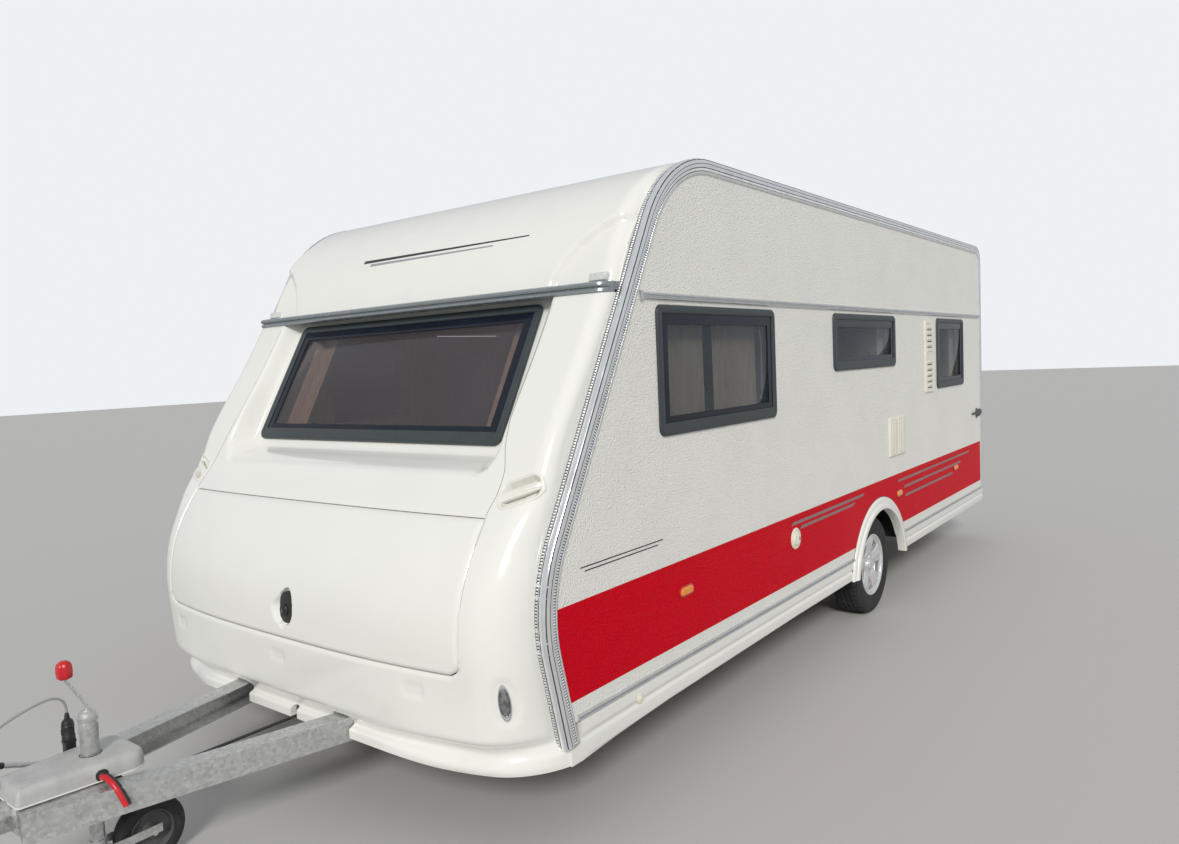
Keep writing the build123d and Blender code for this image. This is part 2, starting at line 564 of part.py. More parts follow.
for side, y0, y1, z0, z1 in CURTAINS:
    cloth = box(INNER_X - 50, INNER_X - 20, y0, y1, z0 - 20, z1 + 20)
    curtains.append(cloth if side > 0 else mirror_x(cloth))
FRONT_CURTAIN = (640.0, 810.0, -5560.0, -5530.0, WINDOW_Z0, 2010.0)
REAR_CURTAIN = (470.0, 620.0, -90.0, -60.0, WINDOW_Z0 - 20, 2010.0)
curtains += both(box(*FRONT_CURTAIN)) + both(box(*REAR_CURTAIN))
node("curtains", *curtains)
rails = []
for table, flip in ((LEFT_WINDOWS, False), (RIGHT_WINDOWS, True)):
    for y0, y1, z0, z1 in table:
        bar = box(INNER_X - 55, INNER_X, y0 + 15, y1 - 15, z1 + 20, z1 + 40)
        rails.append(mirror_x(bar) if flip else bar)
rails.append(box(-INNER_X, INNER_X, -5565, -5525, 2010, 2030))
rails.append(box(-660, 660, -95, -SKIN - WALL, 2010, 2030))
node("curtain_rails", *rails)

# Lamps
MARKERS_Y = (-5253.0, -2370.0, -900.0)
lamps = []
for y in MARKERS_Y:
    lamps += both(side_prism(Pos(at(y), 755) * Ellipse(55, 22), HALF_WIDTH, HALF_WIDTH + 12))
clear_lamp = front_prism(Pos(1130, 2105) * RectangleRounded(100, 42, 12), -6000, -5300) & (
    Pos(0, -16, 0) * cap_skin) - cap_skin
OVAL_LAMP = (1155.0, 592.0)
oval_lamp = front_prism(Pos(*OVAL_LAMP) * Ellipse(26, 62), NOSE_FRONT_Y, -6000) & (
    Pos(0, -12, 0) * skirt_skin) - skirt_skin
lamps += both(clear_lamp) + both(oval_lamp)
node("marker_lamps", *lamps)
node("tail_lamps", *both(box(980, 1180, -6, 30, 600, 900)))

# Roof fittings: a domed hatch and mushroom vents
ROOF_TOP = 2639.0
ROOF_FITTING = 61.0
HATCH_Y = -3150.0
HATCH_SIZE = (760.0, 700.0)
ROOF_VENTS = ((700.0, -1500.0), (-500.0, -4500.0), (1070.0, -2840.0))
hatch_face = Pos(0, at(HATCH_Y), ROOF_TOP) * RectangleRounded(*HATCH_SIZE, 60)
hatch = extrude(hatch_face, amount=ROOF_FITTING, taper=25)
vents = []
for x, y in ROOF_VENTS:
    stem = Pos(x, at(y), ROOF_TOP + 15) * Cylinder(50, 30)
    vents.append(stem + Pos(x, at(y), ROOF_TOP + 44) * Cone(70, 45, ROOF_FITTING - 29))
node("roof_fittings", hatch, *vents)


# Chassis
def member(side):
    """One drawbar member and its side rail, a C-section open towards the centre."""
    path = [(side * x, at(y)) for x, y in (MEMBER_TIP, MEMBER_BEND, MEMBER_END)]
    run = (path[1][0] - path[0][0], path[1][1] - path[0][1], 0)
    plane = Plane(origin=(*path[0], MEMBER_MID_Z), z_dir=run, x_dir=(0, 0, 1))
    height = MEMBER_Z1 - MEMBER_Z0
    section = Rectangle(height, MEMBER_WIDTH)
    section -= Pos(0, -side * MEMBER_SHEET) * Rectangle(height - 2 * MEMBER_SHEET, MEMBER_WIDTH)
    line = Pos(0, 0, MEMBER_MID_Z) * FilletPolyline(*path, radius=MEMBER_BEND_R)
    return sweep(plane * section, path=line)


def inner_edge(y):
    """Distance from the centre line to a drawbar member's inner side."""
    slope = (MEMBER_BEND[0] - MEMBER_TIP[0]) / (MEMBER_BEND[1] - MEMBER_TIP[1])
    return MEMBER_TIP[0] + slope * (y - MEMBER_TIP[1]) - MEMBER_WIDTH / 2 * math.sqrt(1 + slope ** 2)


def between_members(y0, y1, z0, z1):
    """Block that fills the gap between the drawbar members."""
    x0, x1 = inner_edge(y0), inner_edge(y1)
    face = make_face(Polyline((-x0, at(y0)), (x0, at(y0)), (x1, at(y1)), (-x1, at(y1)), close=True))
    return extrude(Pos(0, 0, z0) * face, amount=z1 - z0)


node("chassis_beam_left", member(1))
node("chassis_beam_right", member(-1))
CROSS_Y = (-4880.0, -1500.0, -320.0)
bars = []
web_x = MEMBER_BEND[0] + MEMBER_WIDTH / 2 - MEMBER_SHEET
for y in CROSS_Y:
    bar = box(-web_x, web_x, y, y + 50, MEMBER_Z0 + 15, MEMBER_Z1 - MEMBER_SHEET)
    if y < BEAM_Y:
        bar -= rod(2 * BRAKE_ROD_R, (BRAKE_ROD_X, y - 10, BRAKE_ROD_Z), (BRAKE_ROD_X, y + 60, BRAKE_ROD_Z))
    bars.append(bar)
node("cross_members", *bars)
pad = box(640, 770, BEAM_Y - 60, BEAM_Y + 60, BEAM_Z + 20, MEMBER_Z0)
node("axle_beam", rod(BEAM_R, (-ARM_X, BEAM_Y, BEAM_Z), (ARM_X, BEAM_Y, BEAM_Z)) + pad + mirror_x(pad))
arm_face = make_hull([
    *(Pos(at(BEAM_Y), BEAM_Z) * Circle(BEAM_R)).edges(), *(Pos(at(AXLE_Y), TYRE_R) * Circle(36)).edges()])
arm = side_prism(arm_face, ARM_X, ARM_X + ARM_THICK)
arm += rod(HUB_R, (ARM_X + ARM_THICK - BEYOND, AXLE_Y, TYRE_R), (1075, AXLE_Y, TYRE_R))
node("trailing_arms", *both(arm))
brake_rod = rod(BRAKE_ROD_R, (BRAKE_ROD_X, -7299, BRAKE_ROD_Z), (BRAKE_ROD_X, BEAM_Y, BRAKE_ROD_Z))
brake_rod += rod(BRAKE_ROD_R, (BRAKE_ROD_X, BEAM_Y, BRAKE_ROD_Z + 6), (BRAKE_ROD_X, BEAM_Y, BEAM_Z + BEAM_R))
node("brake_rod", brake_rod)

# Road wheels: closed (x, radius) outlines turned about the axle line
TYRE_INNER_X = TYRE_OUTER_X - TYRE_WIDTH
TYRE_OUTLINE = [
    (TYRE_INNER_X + 22, RIM_R), (TYRE_INNER_X, 255.0), (TYRE_INNER_X + 14, TYRE_R - 8),
    (TYRE_INNER_X + 26, TYRE_R), (TYRE_OUTER_X - 26, TYRE_R), (TYRE_OUTER_X - 14, TYRE_R - 8),
    (TYRE_OUTER_X, 255.0), (TYRE_OUTER_X - 22, RIM_R),
]
BARREL_OUTLINE = [(1037, 168), (1037, RIM_R - 0.5), (1178, RIM_R - 0.5), (1178, 172), (1150, 168)]
DISC_OUTLINE = [
    (1112, 0), (1112, 70), (1128, 130), (1138, 170), (1170, 174), (1164, 130), (1150, 62), (1162, 44), (1166, 0)]
DRUM_OUTLINE = [(975, HUB_R + 0.5), (975, DRUM_R), (1118, DRUM_R), (1118, HUB_R + 0.5)]
SPOKES = 5
WINDOW_CORNERS = [(86, -13), (158, -19), (158, 19), (86, 13)]


def turned(points):
    """Revolve a closed (x, radius) outline about the axle line."""
    return Pos(0, at(AXLE_Y), TYRE_R) * revolve(make_face(Polyline(*points, close=True)), axis=Axis.X)


tyre = turned(TYRE_OUTLINE)
disc = turned(DISC_OUTLINE)
for index in range(SPOKES):
    turn = 90 + 360 / SPOKES * (index + 0.5)
    corners = []
    for radius, angle in WINDOW_CORNERS:
        direction = math.radians(turn + angle)
        corners.append((at(AXLE_Y) + radius * math.cos(direction), TYRE_R + radius * math.sin(direction)))
    disc -= side_prism(make_face(Polyline(*corners, close=True)), 1100, 1200)
rim = disc + turned(BARREL_OUTLINE) + turned(DRUM_OUTLINE)
for side, flip in (("left", False), ("right", True)):
    for name, solid in (("tyre", tyre), ("rim", rim)):
        node(f"{name}_{side}", mirror_x(solid) if flip else solid)

# Jockey wheel: clamp with its collar, tube with crank, leg, fork, wheel
CLAMP_Z0 = 374.0
COLLAR_R = 42.0
clamp = between_members(JOCKEY_Y - 45, JOCKEY_Y + 45, CLAMP_Z0, MEMBER_Z1)
clamp += rod(COLLAR_R, (0, JOCKEY_Y, MEMBER_Z1 - 2), (0, JOCKEY_Y, MEMBER_Z1 + 42))
clamp += box(30, 46, JOCKEY_Y - 30, JOCKEY_Y + 5, 424, 456)
clamp -= rod(JOCKEY_TUBE_R, (0, JOCKEY_Y, CLAMP_Z0 - 100), (0, JOCKEY_Y, CLAMP_Z0 + 100))
node("jockey_clamp", clamp)
HANDLE_ROUTE = [(46, -7206, 440), (224, -7206, 440), (230, -7216, 345)]
clamp_handle = rod(9, HANDLE_ROUTE[0], HANDLE_ROUTE[1])
clamp_handle += Pos(HANDLE_ROUTE[1][0], at(HANDLE_ROUTE[1][1]), HANDLE_ROUTE[1][2]) * Sphere(11)
clamp_handle += rod(11, HANDLE_ROUTE[1], HANDLE_ROUTE[2])
node("clamp_handle", clamp_handle)
tube = rod(JOCKEY_TUBE_R, (0, JOCKEY_Y, JOCKEY_TUBE_Z0), (0, JOCKEY_Y, JOCKEY_TUBE_Z1))
tube -= rod(JOCKEY_LEG_R + 1, (0, JOCKEY_Y, JOCKEY_TUBE_Z0 - BEYOND), (0, JOCKEY_Y, JOCKEY_TUBE_Z1 - 39))
crank_y = JOCKEY_Y - 60
tube += rod(CRANK_R, (0, JOCKEY_Y, JOCKEY_TUBE_Z1 - BEYOND), (0, JOCKEY_Y, CRANK_FOOT_Z))
tube += Pos(0, at(JOCKEY_Y), CRANK_FOOT_Z) * Sphere(CRANK_R)
tube += rod(CRANK_R, (0, JOCKEY_Y, CRANK_FOOT_Z), (0, crank_y, KNOB_Z[0] + 5))
tube += rod(KNOB_R, (0, crank_y, KNOB_Z[0]), (0, crank_y, KNOB_Z[1]))
node("jockey_tube", tube)
node("jockey_leg", rod(JOCKEY_LEG_R, (0, JOCKEY_Y, JOCKEY_LEG_Z0), (0, JOCKEY_Y, JOCKEY_LEG_Z1)))
wheel_y = JOCKEY_Y + JOCKEY_TRAIL
fork_z1 = JOCKEY_LEG_Z0 - 0.5
fork = rod(JOCKEY_LEG_R + 4, (0, JOCKEY_Y, fork_z1 - 25), (0, JOCKEY_Y, fork_z1))
fork += box(-FORK_HALF, FORK_HALF, JOCKEY_Y - 20, JOCKEY_Y + 30, 132, 154)
fork_side = box(FORK_HALF - FORK_SHEET, FORK_HALF, JOCKEY_Y - 10, wheel_y + 25, 124, 154)
fork += fork_side + mirror_x(fork_side)
fork += rod(8, (-FORK_HALF, wheel_y, JOCKEY_WHEEL_R), (FORK_HALF, wheel_y, JOCKEY_WHEEL_R))
node("jockey_fork", fork)
wheel_outline = make_face(Polyline((-30, 8.5), (-30, 112), (-20, 125), (20, 125), (30, 112), (30, 8.5), close=True))
node("jockey_wheel", Pos(0, at(wheel_y), JOCKEY_WHEEL_R) * revolve(wheel_outline, axis=Axis.X))

# Overrun housing, coupling head and handbrake
housing = rod(HOUSING_R, (0, HOUSING_Y[0], HOUSING_Z), (0, HOUSING_Y[1], HOUSING_Z))
for y in (-7445, -7320):
    housing += between_members(y, y + 20, MEMBER_Z0, MEMBER_Z1)
node("overrun_housing", housing)
ball = Pos(BALL[0], at(BALL[1]), BALL[2])
head = rod(SHAFT_R, (0, -7650, SHAFT_Z), (0, HOUSING_Y[0], SHAFT_Z))
head += Pos(0, 0, -12) * ball * Cylinder(HEAD_R, 66)
head += box(-30, 30, -7690, -7600, SHAFT_Z, 440)
head += rod(30, (0, HEAD_NOSE_Y, BALL[2]), BALL)
head += rod(11, (0, -7660, 435), (0, -7640, 500)) + Pos(0, at(-7640), 500) * Sphere(11)
head += rod(11, (0, -7640, 500), (0, -7530, 520))
head -= ball * Sphere(BALL_SOCKET_R)
head -= Pos(0, 0, -30) * ball * Cylinder(BALL_SOCKET_R, 60)
node("coupling_head", head)
lever = rod(9, (-150, -7270, 440), (-150, -7500, 520)) + box(-160, -140, -7290, -7250, MEMBER_Z1, 452)
node("handbrake_lever", lever)

# Drawbar cover
COVER_TOP = 482.0
COVER_SHEET = 6.0
COVER_Z0 = MEMBER_Z1 + 1
cover_plan = make_face(Polyline(
    (-140, at(-7050)), (140, at(-7050)), (100, at(-7400)), (-100, at(-7400)), close=True))
cover = extrude(Pos(0, 0, COVER_Z0) * cover_plan, amount=COVER_TOP - COVER_Z0)
cover = fillet(cover.edges().group_by(Axis.Z)[-1], radius=COVER_SHEET - 1)
cover -= extrude(Pos(0, 0, COVER_Z0) * offset(cover_plan, -COVER_SHEET), amount=COVER_TOP - COVER_Z0 - 7)
cover -= rod(JOCKEY_TUBE_R + 6, (0, JOCKEY_Y, COVER_Z0 - BEYOND), (0, JOCKEY_Y, COVER_TOP + BEYOND))
cover -= rod(HOUSING_R + 4, (0, HOUSING_Y[0], HOUSING_Z), (0, HOUSING_Y[1] + 10, HOUSING_Z))
HANDLE_SLOT = (90.0, 160.0, -7232.0, -7186.0, 420.0, 462.0)
cover -= box(*HANDLE_SLOT)
node("drawbar_cover", cover)

# Plug in its holder, the cable round the front of the housing, and its gland
CABLE_R = 4.5
PLUG = (-150, -7200)
CABLE = [
    (-107, -7462, 440), (-107, -7496, 440), (-109, -7530, 450), (-116, -7550, 480), (-126, -7546, 518),
    (-135, -7520, 550), (-142, -7484, 578), (-146, -7440, 604), (-149, -7392, 628), (-150, -7342, 646),
    (-150, -7290, 660), (-150, -7244, 666), (-150, -7213, 652), (-150, -7200, 625), (-150, -7200, 600),
]
holder = box(PLUG[0] - 22, PLUG[0] + 22, PLUG[1] - 22, PLUG[1] + 22, MEMBER_Z1, 500)
gland = rod(9, CABLE[0], (-107, -7430, 440)) + box(-119, -95, -7445, -7420, MEMBER_Z1, 450)
node("plug_holder", holder, gland)
node("plug", rod(20, (*PLUG, 500), (*PLUG, 600)))
cable_points = [Vector(x, at(y), z) for x, y, z in CABLE]
cable_radii = []
for before, here, after in zip(cable_points, cable_points[1:], cable_points[2:]):
    turn = math.radians((here - before).get_angle(after - here))
    short = min((here - before).length, (after - here).length)
    cable_radii.append(0.45 * short / math.tan(turn / 2))
cable_path = FilletPolyline(*cable_points, radius=cable_radii)
cable_start = Plane(origin=cable_points[0], z_dir=cable_points[1] - cable_points[0])
cable = sweep(cable_start * Circle(CABLE_R), path=cable_path)
straight = math.pi * CABLE_R ** 2 * cable_path.length
print("cable", round(cable_path.length), "mm, sharpest arc", round(min(cable_radii)), "mm, volume ratio",
      round(cable.volume / straight, 3))
node("cable", cable)

# Entrance door, drawn on the -X side
door_pane = rounded_area(DOOR_Y0 + DOOR_STILE, DOOR_Y1 - DOOR_STILE, *DOOR_PANE_Z, HOLE_RADIUS)
door = side_prism(area(DOOR_Y0, DOOR_Y1, DOOR_Z0, DOOR_Z1) - door_pane, -HALF_WIDTH - DOOR_PROUD, -INNER_X)
door -= box(-HALF_WIDTH + 8, -INNER_X + BEYOND, DOOR_Y0 - BEYOND, DOOR_Y1 + BEYOND, DOOR_Z0 - BEYOND, FLOOR_TOP + 6)
for part in door_parts:
    door += part
door += box(-HALF_WIDTH - DOOR_HANDLE_PROUD, -HALF_WIDTH - DOOR_PROUD, *DOOR_HANDLE)
node("entrance_door", door)
node("door_pane", side_prism(door_pane, -HALF_WIDTH - 2, -HALF_WIDTH + 4))

# Corner steadies: name, side, hinge y, direction of the stowed leg along y
STEADIES = [
    ("front_left", 1, -5250.0, -1), ("front_right", -1, -5250.0, -1),
    ("rear_left", 1, -850.0, 1), ("rear_right", -1, -850.0, 1),
]
BRACKET_TOP = FLOOR_TOP - FLOOR_THICK
across = Rot(0, 90, 0)
brackets = []
for name, side, y, way in STEADIES:
    x = side * STEADY_X
    end = y + way * STEADY_LENGTH
    pin = Pos(x, at(y), STEADY_Z) * across
    leg = box(x - STEADY_HALF, x + STEADY_HALF, min(y, end), max(y, end), STEADY_Z - 15, STEADY_Z + 15)
    leg += Pos(x, at(end), STEADY_Z) * across * Cylinder(*STEADY_FOOT)
    leg += pin * Cylinder(18, 2 * STEADY_HALF)
    node(f"steady_{name}", leg - pin * Cylinder(STEADY_PIN_R + 0.2, 3 * STEADY_HALF))
    bracket = box(x - 40, x + 40, y - 30, y + 30, BRACKET_TOP - 8, BRACKET_TOP)
    for cheek_x in (x - 36, x + 36):
        bracket += box(cheek_x - 4, cheek_x + 4, y - 25, y + 25, STEADY_Z - 20, BRACKET_TOP - 6)
    brackets.append(bracket + pin * Cylinder(STEADY_PIN_R, 80))
node("steady_brackets", *brackets)

os.makedirs("parts", exist_ok=True)
for name, shape in NODES.items():
    export_step(shape, f"parts/{name}.step")
print(len(NODES), "nodes")
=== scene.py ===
"""Looks of the travel caravan, built around its CAD frame.

Metres. +X is the side without a door, -Y the drawbar end.
"""
import math

import bmesh
import bpy
import numpy as np
from mathutils import Matrix, Vector


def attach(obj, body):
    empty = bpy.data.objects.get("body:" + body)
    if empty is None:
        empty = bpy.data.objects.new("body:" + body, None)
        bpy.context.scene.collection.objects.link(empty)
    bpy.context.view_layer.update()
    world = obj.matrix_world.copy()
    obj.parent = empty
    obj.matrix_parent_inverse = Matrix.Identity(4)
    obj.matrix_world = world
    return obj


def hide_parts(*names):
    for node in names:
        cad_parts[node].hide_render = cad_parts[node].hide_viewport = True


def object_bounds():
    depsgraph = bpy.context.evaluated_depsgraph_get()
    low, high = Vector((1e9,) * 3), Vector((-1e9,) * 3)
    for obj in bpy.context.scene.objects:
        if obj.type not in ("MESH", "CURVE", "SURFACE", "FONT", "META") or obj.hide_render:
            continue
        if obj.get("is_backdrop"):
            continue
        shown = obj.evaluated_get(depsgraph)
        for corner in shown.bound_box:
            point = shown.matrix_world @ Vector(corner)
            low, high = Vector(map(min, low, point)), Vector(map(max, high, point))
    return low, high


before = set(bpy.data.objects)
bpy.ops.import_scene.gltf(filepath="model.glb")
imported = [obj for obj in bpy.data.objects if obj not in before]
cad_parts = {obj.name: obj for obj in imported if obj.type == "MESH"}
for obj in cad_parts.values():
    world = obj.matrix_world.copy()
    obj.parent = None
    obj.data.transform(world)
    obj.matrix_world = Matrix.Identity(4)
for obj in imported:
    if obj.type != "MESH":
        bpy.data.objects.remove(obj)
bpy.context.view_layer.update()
REAR = 3.87
HALF = 1.25


def at(y):
    """Model y of a place given from the rear wall."""
    return REAR + y


# Camera and cable
def add_camera():
    data = bpy.data.cameras.new("camera")
    data.sensor_width = 36.0
    data.lens = 26.1
    right = Vector((0.79286, 0.60784, -0.04381))
    forward = Vector((-0.60937, 0.78988, -0.06904))
    up = Vector((-0.00736, 0.08144, 0.99665))
    matrix = Matrix((right, up, -forward)).transposed().to_4x4()
    matrix.translation = (3.181, -4.5206, 1.761)
    camera = bpy.data.objects.new("camera", data)
    camera.matrix_world = matrix
    bpy.context.scene.collection.objects.link(camera)
    bpy.context.scene.camera = camera


CABLE_ROUTE = [
    (-0.107, -7.462, 0.44), (-0.107, -7.496, 0.44), (-0.109, -7.53, 0.45), (-0.116, -7.55, 0.48),
    (-0.126, -7.546, 0.518), (-0.135, -7.52, 0.55), (-0.142, -7.484, 0.578), (-0.146, -7.44, 0.604),
    (-0.149, -7.392, 0.628), (-0.15, -7.342, 0.646), (-0.15, -7.29, 0.66), (-0.15, -7.244, 0.666),
    (-0.15, -7.213, 0.652), (-0.15, -7.2, 0.625), (-0.15, -7.2, 0.6),
]
CABLE_RADIUS = 0.0045


def add_cable(material):
    curve = bpy.data.curves.new("cable_sheath", "CURVE")
    curve.dimensions = "3D"
    curve.bevel_depth = CABLE_RADIUS
    curve.bevel_resolution = 5
    curve.resolution_u = 12
    spline = curve.splines.new("NURBS")
    spline.points.add(len(CABLE_ROUTE) - 1)
    for point, (x, y, z) in zip(spline.points, CABLE_ROUTE):
        point.co = (x, at(y), z, 1.0)
    spline.order_u = 3
    spline.use_endpoint_u = True
    obj = bpy.data.objects.new("cable_sheath", curve)
    bpy.context.scene.collection.objects.link(obj)
    obj.data.materials.append(material)
    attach(obj, "root")
    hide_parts("cable")
    x, y, z = CABLE_ROUTE[0]


add_camera()


# Materials
def principled(name, color, roughness, metallic=0.0, **sockets):
    """A principled material; sockets are further shader inputs by name, spaces written as underscores."""
    mat = bpy.data.materials.new(name)
    mat.use_nodes = True
    shader = mat.node_tree.nodes["Principled BSDF"]
    shader.inputs["Base Color"].default_value = (*color[:3], 1.0)
    shader.inputs["Roughness"].default_value = roughness
    shader.inputs["Metallic"].default_value = metallic
    for key, value in sockets.items():
        shader.inputs[key.replace("_", " ")].default_value = value
    mat.diffuse_color = (*color[:3], 1.0)
    return mat, shader


def add_node(mat, kind, links=(), **values):
    """One shader node; links are (input name, output socket) and values its settings and inputs."""
    item = mat.node_tree.nodes.new(kind)
    for key, value in values.items():
        socket = item.inputs.get(key.replace("_", " "))
        if socket is not None:
            socket.default_value = value
        else:
            setattr(item, key, value)
    for key, output in links:
        mat.node_tree.links.new(output, item.inputs[key])
    return item


def place(mat, stretch=(1, 1, 1)):
    """Object coordinates, stretched."""
    coords = add_node(mat, "ShaderNodeTexCoord")
    mapping = add_node(mat, "ShaderNodeMapping", [("Vector", coords.outputs["Object"])])
    mapping.inputs["Scale"].default_value = stretch
    return mapping.outputs["Vector"]


def ramp(mat, factor, stops):
    """Colour ramp with stops of (place, colour or grey)."""
    item = add_node(mat, "ShaderNodeValToRGB", [("Fac", factor)])
    elements = item.color_ramp.elements
    while len(elements) < len(stops):
        elements.new(0.5)
    for element, (where, color) in zip(elements, stops):
        element.position = where
        element.color = (color, color, color, 1) if isinstance(color, float) else (*color, 1)
    return item.outputs["Color"]


def feed(mat, shader, key, output):
    """Link a node's output to an input of the shader."""
    mat.node_tree.links.new(output, shader.inputs[key])


def noise(mat, vector, scale, detail, roughness=0.5):
    """Value of a noise over the surface."""
    item = add_node(mat, "ShaderNodeTexNoise", [("Vector", vector)], Scale=scale, Detail=detail,
                    Roughness=roughness)
    return item.outputs["Fac"]


def mixed(mat, factor, first, second, blend="MIX"):
    """Mix of two colours; each input is a node's output or a plain value."""
    mix = add_node(mat, "ShaderNodeMix", data_type="RGBA", blend_type=blend)
    for index, value in ((0, factor), (6, first), (7, second)):
        if isinstance(value, bpy.types.NodeSocket):
            mat.node_tree.links.new(value, mix.inputs[index])
        else:
            mix.inputs[index].default_value = value
    return mix.outputs[2]


def shade(color, factor):
    """A colour made darker or lighter."""
    return tuple(min(1.0, c * factor) for c in color)


def shades(mat, factor, color, low, high):
    """Ramp from one shade of a colour to another; each is (place, share of the colour)."""
    return ramp(mat, factor, [(where, shade(color, share)) for where, share in (low, high)])


def bump(mat, shader, height, strength, distance, under=None):
    links = [("Height", height)] + ([("Normal", under)] if under else [])
    item = add_node(mat, "ShaderNodeBump", links, Strength=strength, Distance=distance)
    feed(mat, shader, "Normal", item.outputs["Normal"])
    return item.outputs["Normal"]


def worn(name, color, roughness, metallic=0.0, spread=0.04, scale=6.0, grain=0.0, grain_scale=400.0,
         rough_spread=0.08, dirt=0.0, **sockets):
    """A material whose colour and roughness drift over the surface, with a fine grain and some dirt."""
    mat, shader = principled(name, color, roughness, metallic, **sockets)
    vector = place(mat)
    drift = noise(mat, vector, scale, 6.0, 0.6)
    tint = shades(mat, drift, color, (0.35, 1 - spread), (0.65, 1 + spread))
    if dirt:
        marks = noise(mat, place(mat, (1, 1, 0.35)), scale * 1.7, 8.0, 0.7)
        tint = mixed(mat, ramp(mat, marks, [(0.55, 0.0), (0.8, dirt)]), tint, (0.3, 0.29, 0.25, 1))
    feed(mat, shader, "Base Color", tint)
    half = rough_spread / 2
    feed(mat, shader, "Roughness", ramp(mat, drift, [
        (0.3, max(0.02, roughness - half)), (0.7, min(1.0, roughness + half))]))
    if grain:
        bump(mat, shader, noise(mat, vector, grain_scale, 3.0), grain, 0.001)
    return mat


def pebbled(name, color, spread=0.02, specular=0.5):
    """Painted sheet with a fine pebble texture."""
    mat, shader = principled(name, color, 0.4, Specular_IOR_Level=specular)
    vector = place(mat)
    cells = add_node(mat, "ShaderNodeTexVoronoi", [("Vector", vector)], Scale=150.0, feature="SMOOTH_F1")
    pebbles = cells.outputs["Distance"]
    first = bump(mat, shader, pebbles, 1.0, 0.0045)
    bump(mat, shader, noise(mat, vector, 240.0, 3.0), 0.6, 0.003, first)
    drift = ramp(mat, noise(mat, vector, 3.0, 8.0, 0.65), [(0.35, 1.0 - 2 * spread), (0.65, 1.0)])
    tint = shades(mat, pebbles, color, (0.0, 1.04), (0.8, 0.86))
    feed(mat, shader, "Base Color", mixed(mat, 1.0, tint, drift, "MULTIPLY"))
    return mat


def galvanised(name, color):
    """Hot-dip zinc with spangle and white bloom."""
    mat, shader = principled(name, color, 0.42, 0.75)
    vector = place(mat)
    cells = add_node(mat, "ShaderNodeTexVoronoi", [("Vector", vector)], Scale=85.0)
    drift = noise(mat, vector, 14.0, 8.0, 0.7)
    spangle = add_node(mat, "ShaderNodeSeparateColor", [("Color", cells.outputs["Color"])])
    tint = shades(mat, spangle.outputs["Red"], color, (0.0, 0.84), (1.0, 1.16))
    bloom = ramp(mat, drift, [(0.45, 0.0), (0.75, 0.75)])
    feed(mat, shader, "Base Color", mixed(mat, bloom, tint, (0.62, 0.63, 0.63, 1)))
    feed(mat, shader, "Roughness", ramp(mat, spangle.outputs["Green"], [(0.0, 0.3), (1.0, 0.58)]))
    bump(mat, shader, drift, 0.25, 0.002)
    return mat


def pleated_cloth(name, color):
    """Woven curtain cloth."""
    mat, shader = principled(name, color, 0.85, Sheen_Weight=0.3)
    weave = add_node(mat, "ShaderNodeTexWave", [("Vector", place(mat))], Scale=420.0, Distortion=1.5,
                     bands_direction="Z")
    drift = noise(mat, place(mat, (1, 1, 0.15)), 40.0, 4.0)
    feed(mat, shader, "Base Color", shades(mat, drift, color, (0.3, 0.82), (0.7, 1.1)))
    bump(mat, shader, weave.outputs["Fac"], 0.3, 0.0005)
    return mat


def grained_board(name, color):
    """Plain board with its grain along Y."""
    mat, shader = principled(name, color, 0.6)
    grain = noise(mat, place(mat, (9, 0.7, 9)), 6.0, 6.0)
    feed(mat, shader, "Base Color", shades(mat, grain, color, (0.35, 0.7), (0.65, 1.15)))
    bump(mat, shader, grain, 0.2, 0.001)
    return mat


def tinted_pane(name, color, alpha):
    """Acrylic sheet, slightly wavy, that lets light through."""
    mat, shader = principled(name, color, 0.04, Alpha=alpha, IOR=1.49, Coat_Weight=0.3)
    drift = noise(mat, place(mat), 1.3, 2.0)
    bump(mat, shader, drift, 0.25, 0.004)
    feed(mat, shader, "Base Color", shades(mat, drift, color, (0.3, 0.8), (0.7, 1.2)))
    return mat


MATS, SLOTS = {}, {}


def look(slot, kind, name, *values, **options):
    """Make a material, and note the slot of the record that it fills."""
    MATS[name] = kind(name, *values, **options)
    SLOTS[name] = slot


# Body
look("moulding_white", worn, "gel", (0.8, 0.8, 0.76), 0.16, spread=0.012, scale=2.5, rough_spread=0.06,
     dirt=0.05, Coat_Weight=0.5)
look("moulding_white", worn, "shadow_line", (0.13, 0.13, 0.125), 0.7, spread=0.1)
look("wall_white", pebbled, "wall", (0.87, 0.865, 0.815))
look("wall_white", worn, "roof", (0.78, 0.78, 0.75), 0.38, spread=0.03, scale=3.0, grain=0.2, dirt=0.25)
look("wall_white", pebbled, "band", (0.66, 0.0, 0.012), specular=0.05)
look("wall_white", pebbled, "stripe_grey", (0.3, 0.2, 0.2), specular=0.2)
look("moulding_white", worn, "stripe_black", (0.02, 0.02, 0.025), 0.3)
look("moulding_white", worn, "stripe_silver", (0.3, 0.31, 0.34), 0.3)
look("floor_board", grained_board, "board", (0.22, 0.16, 0.1))
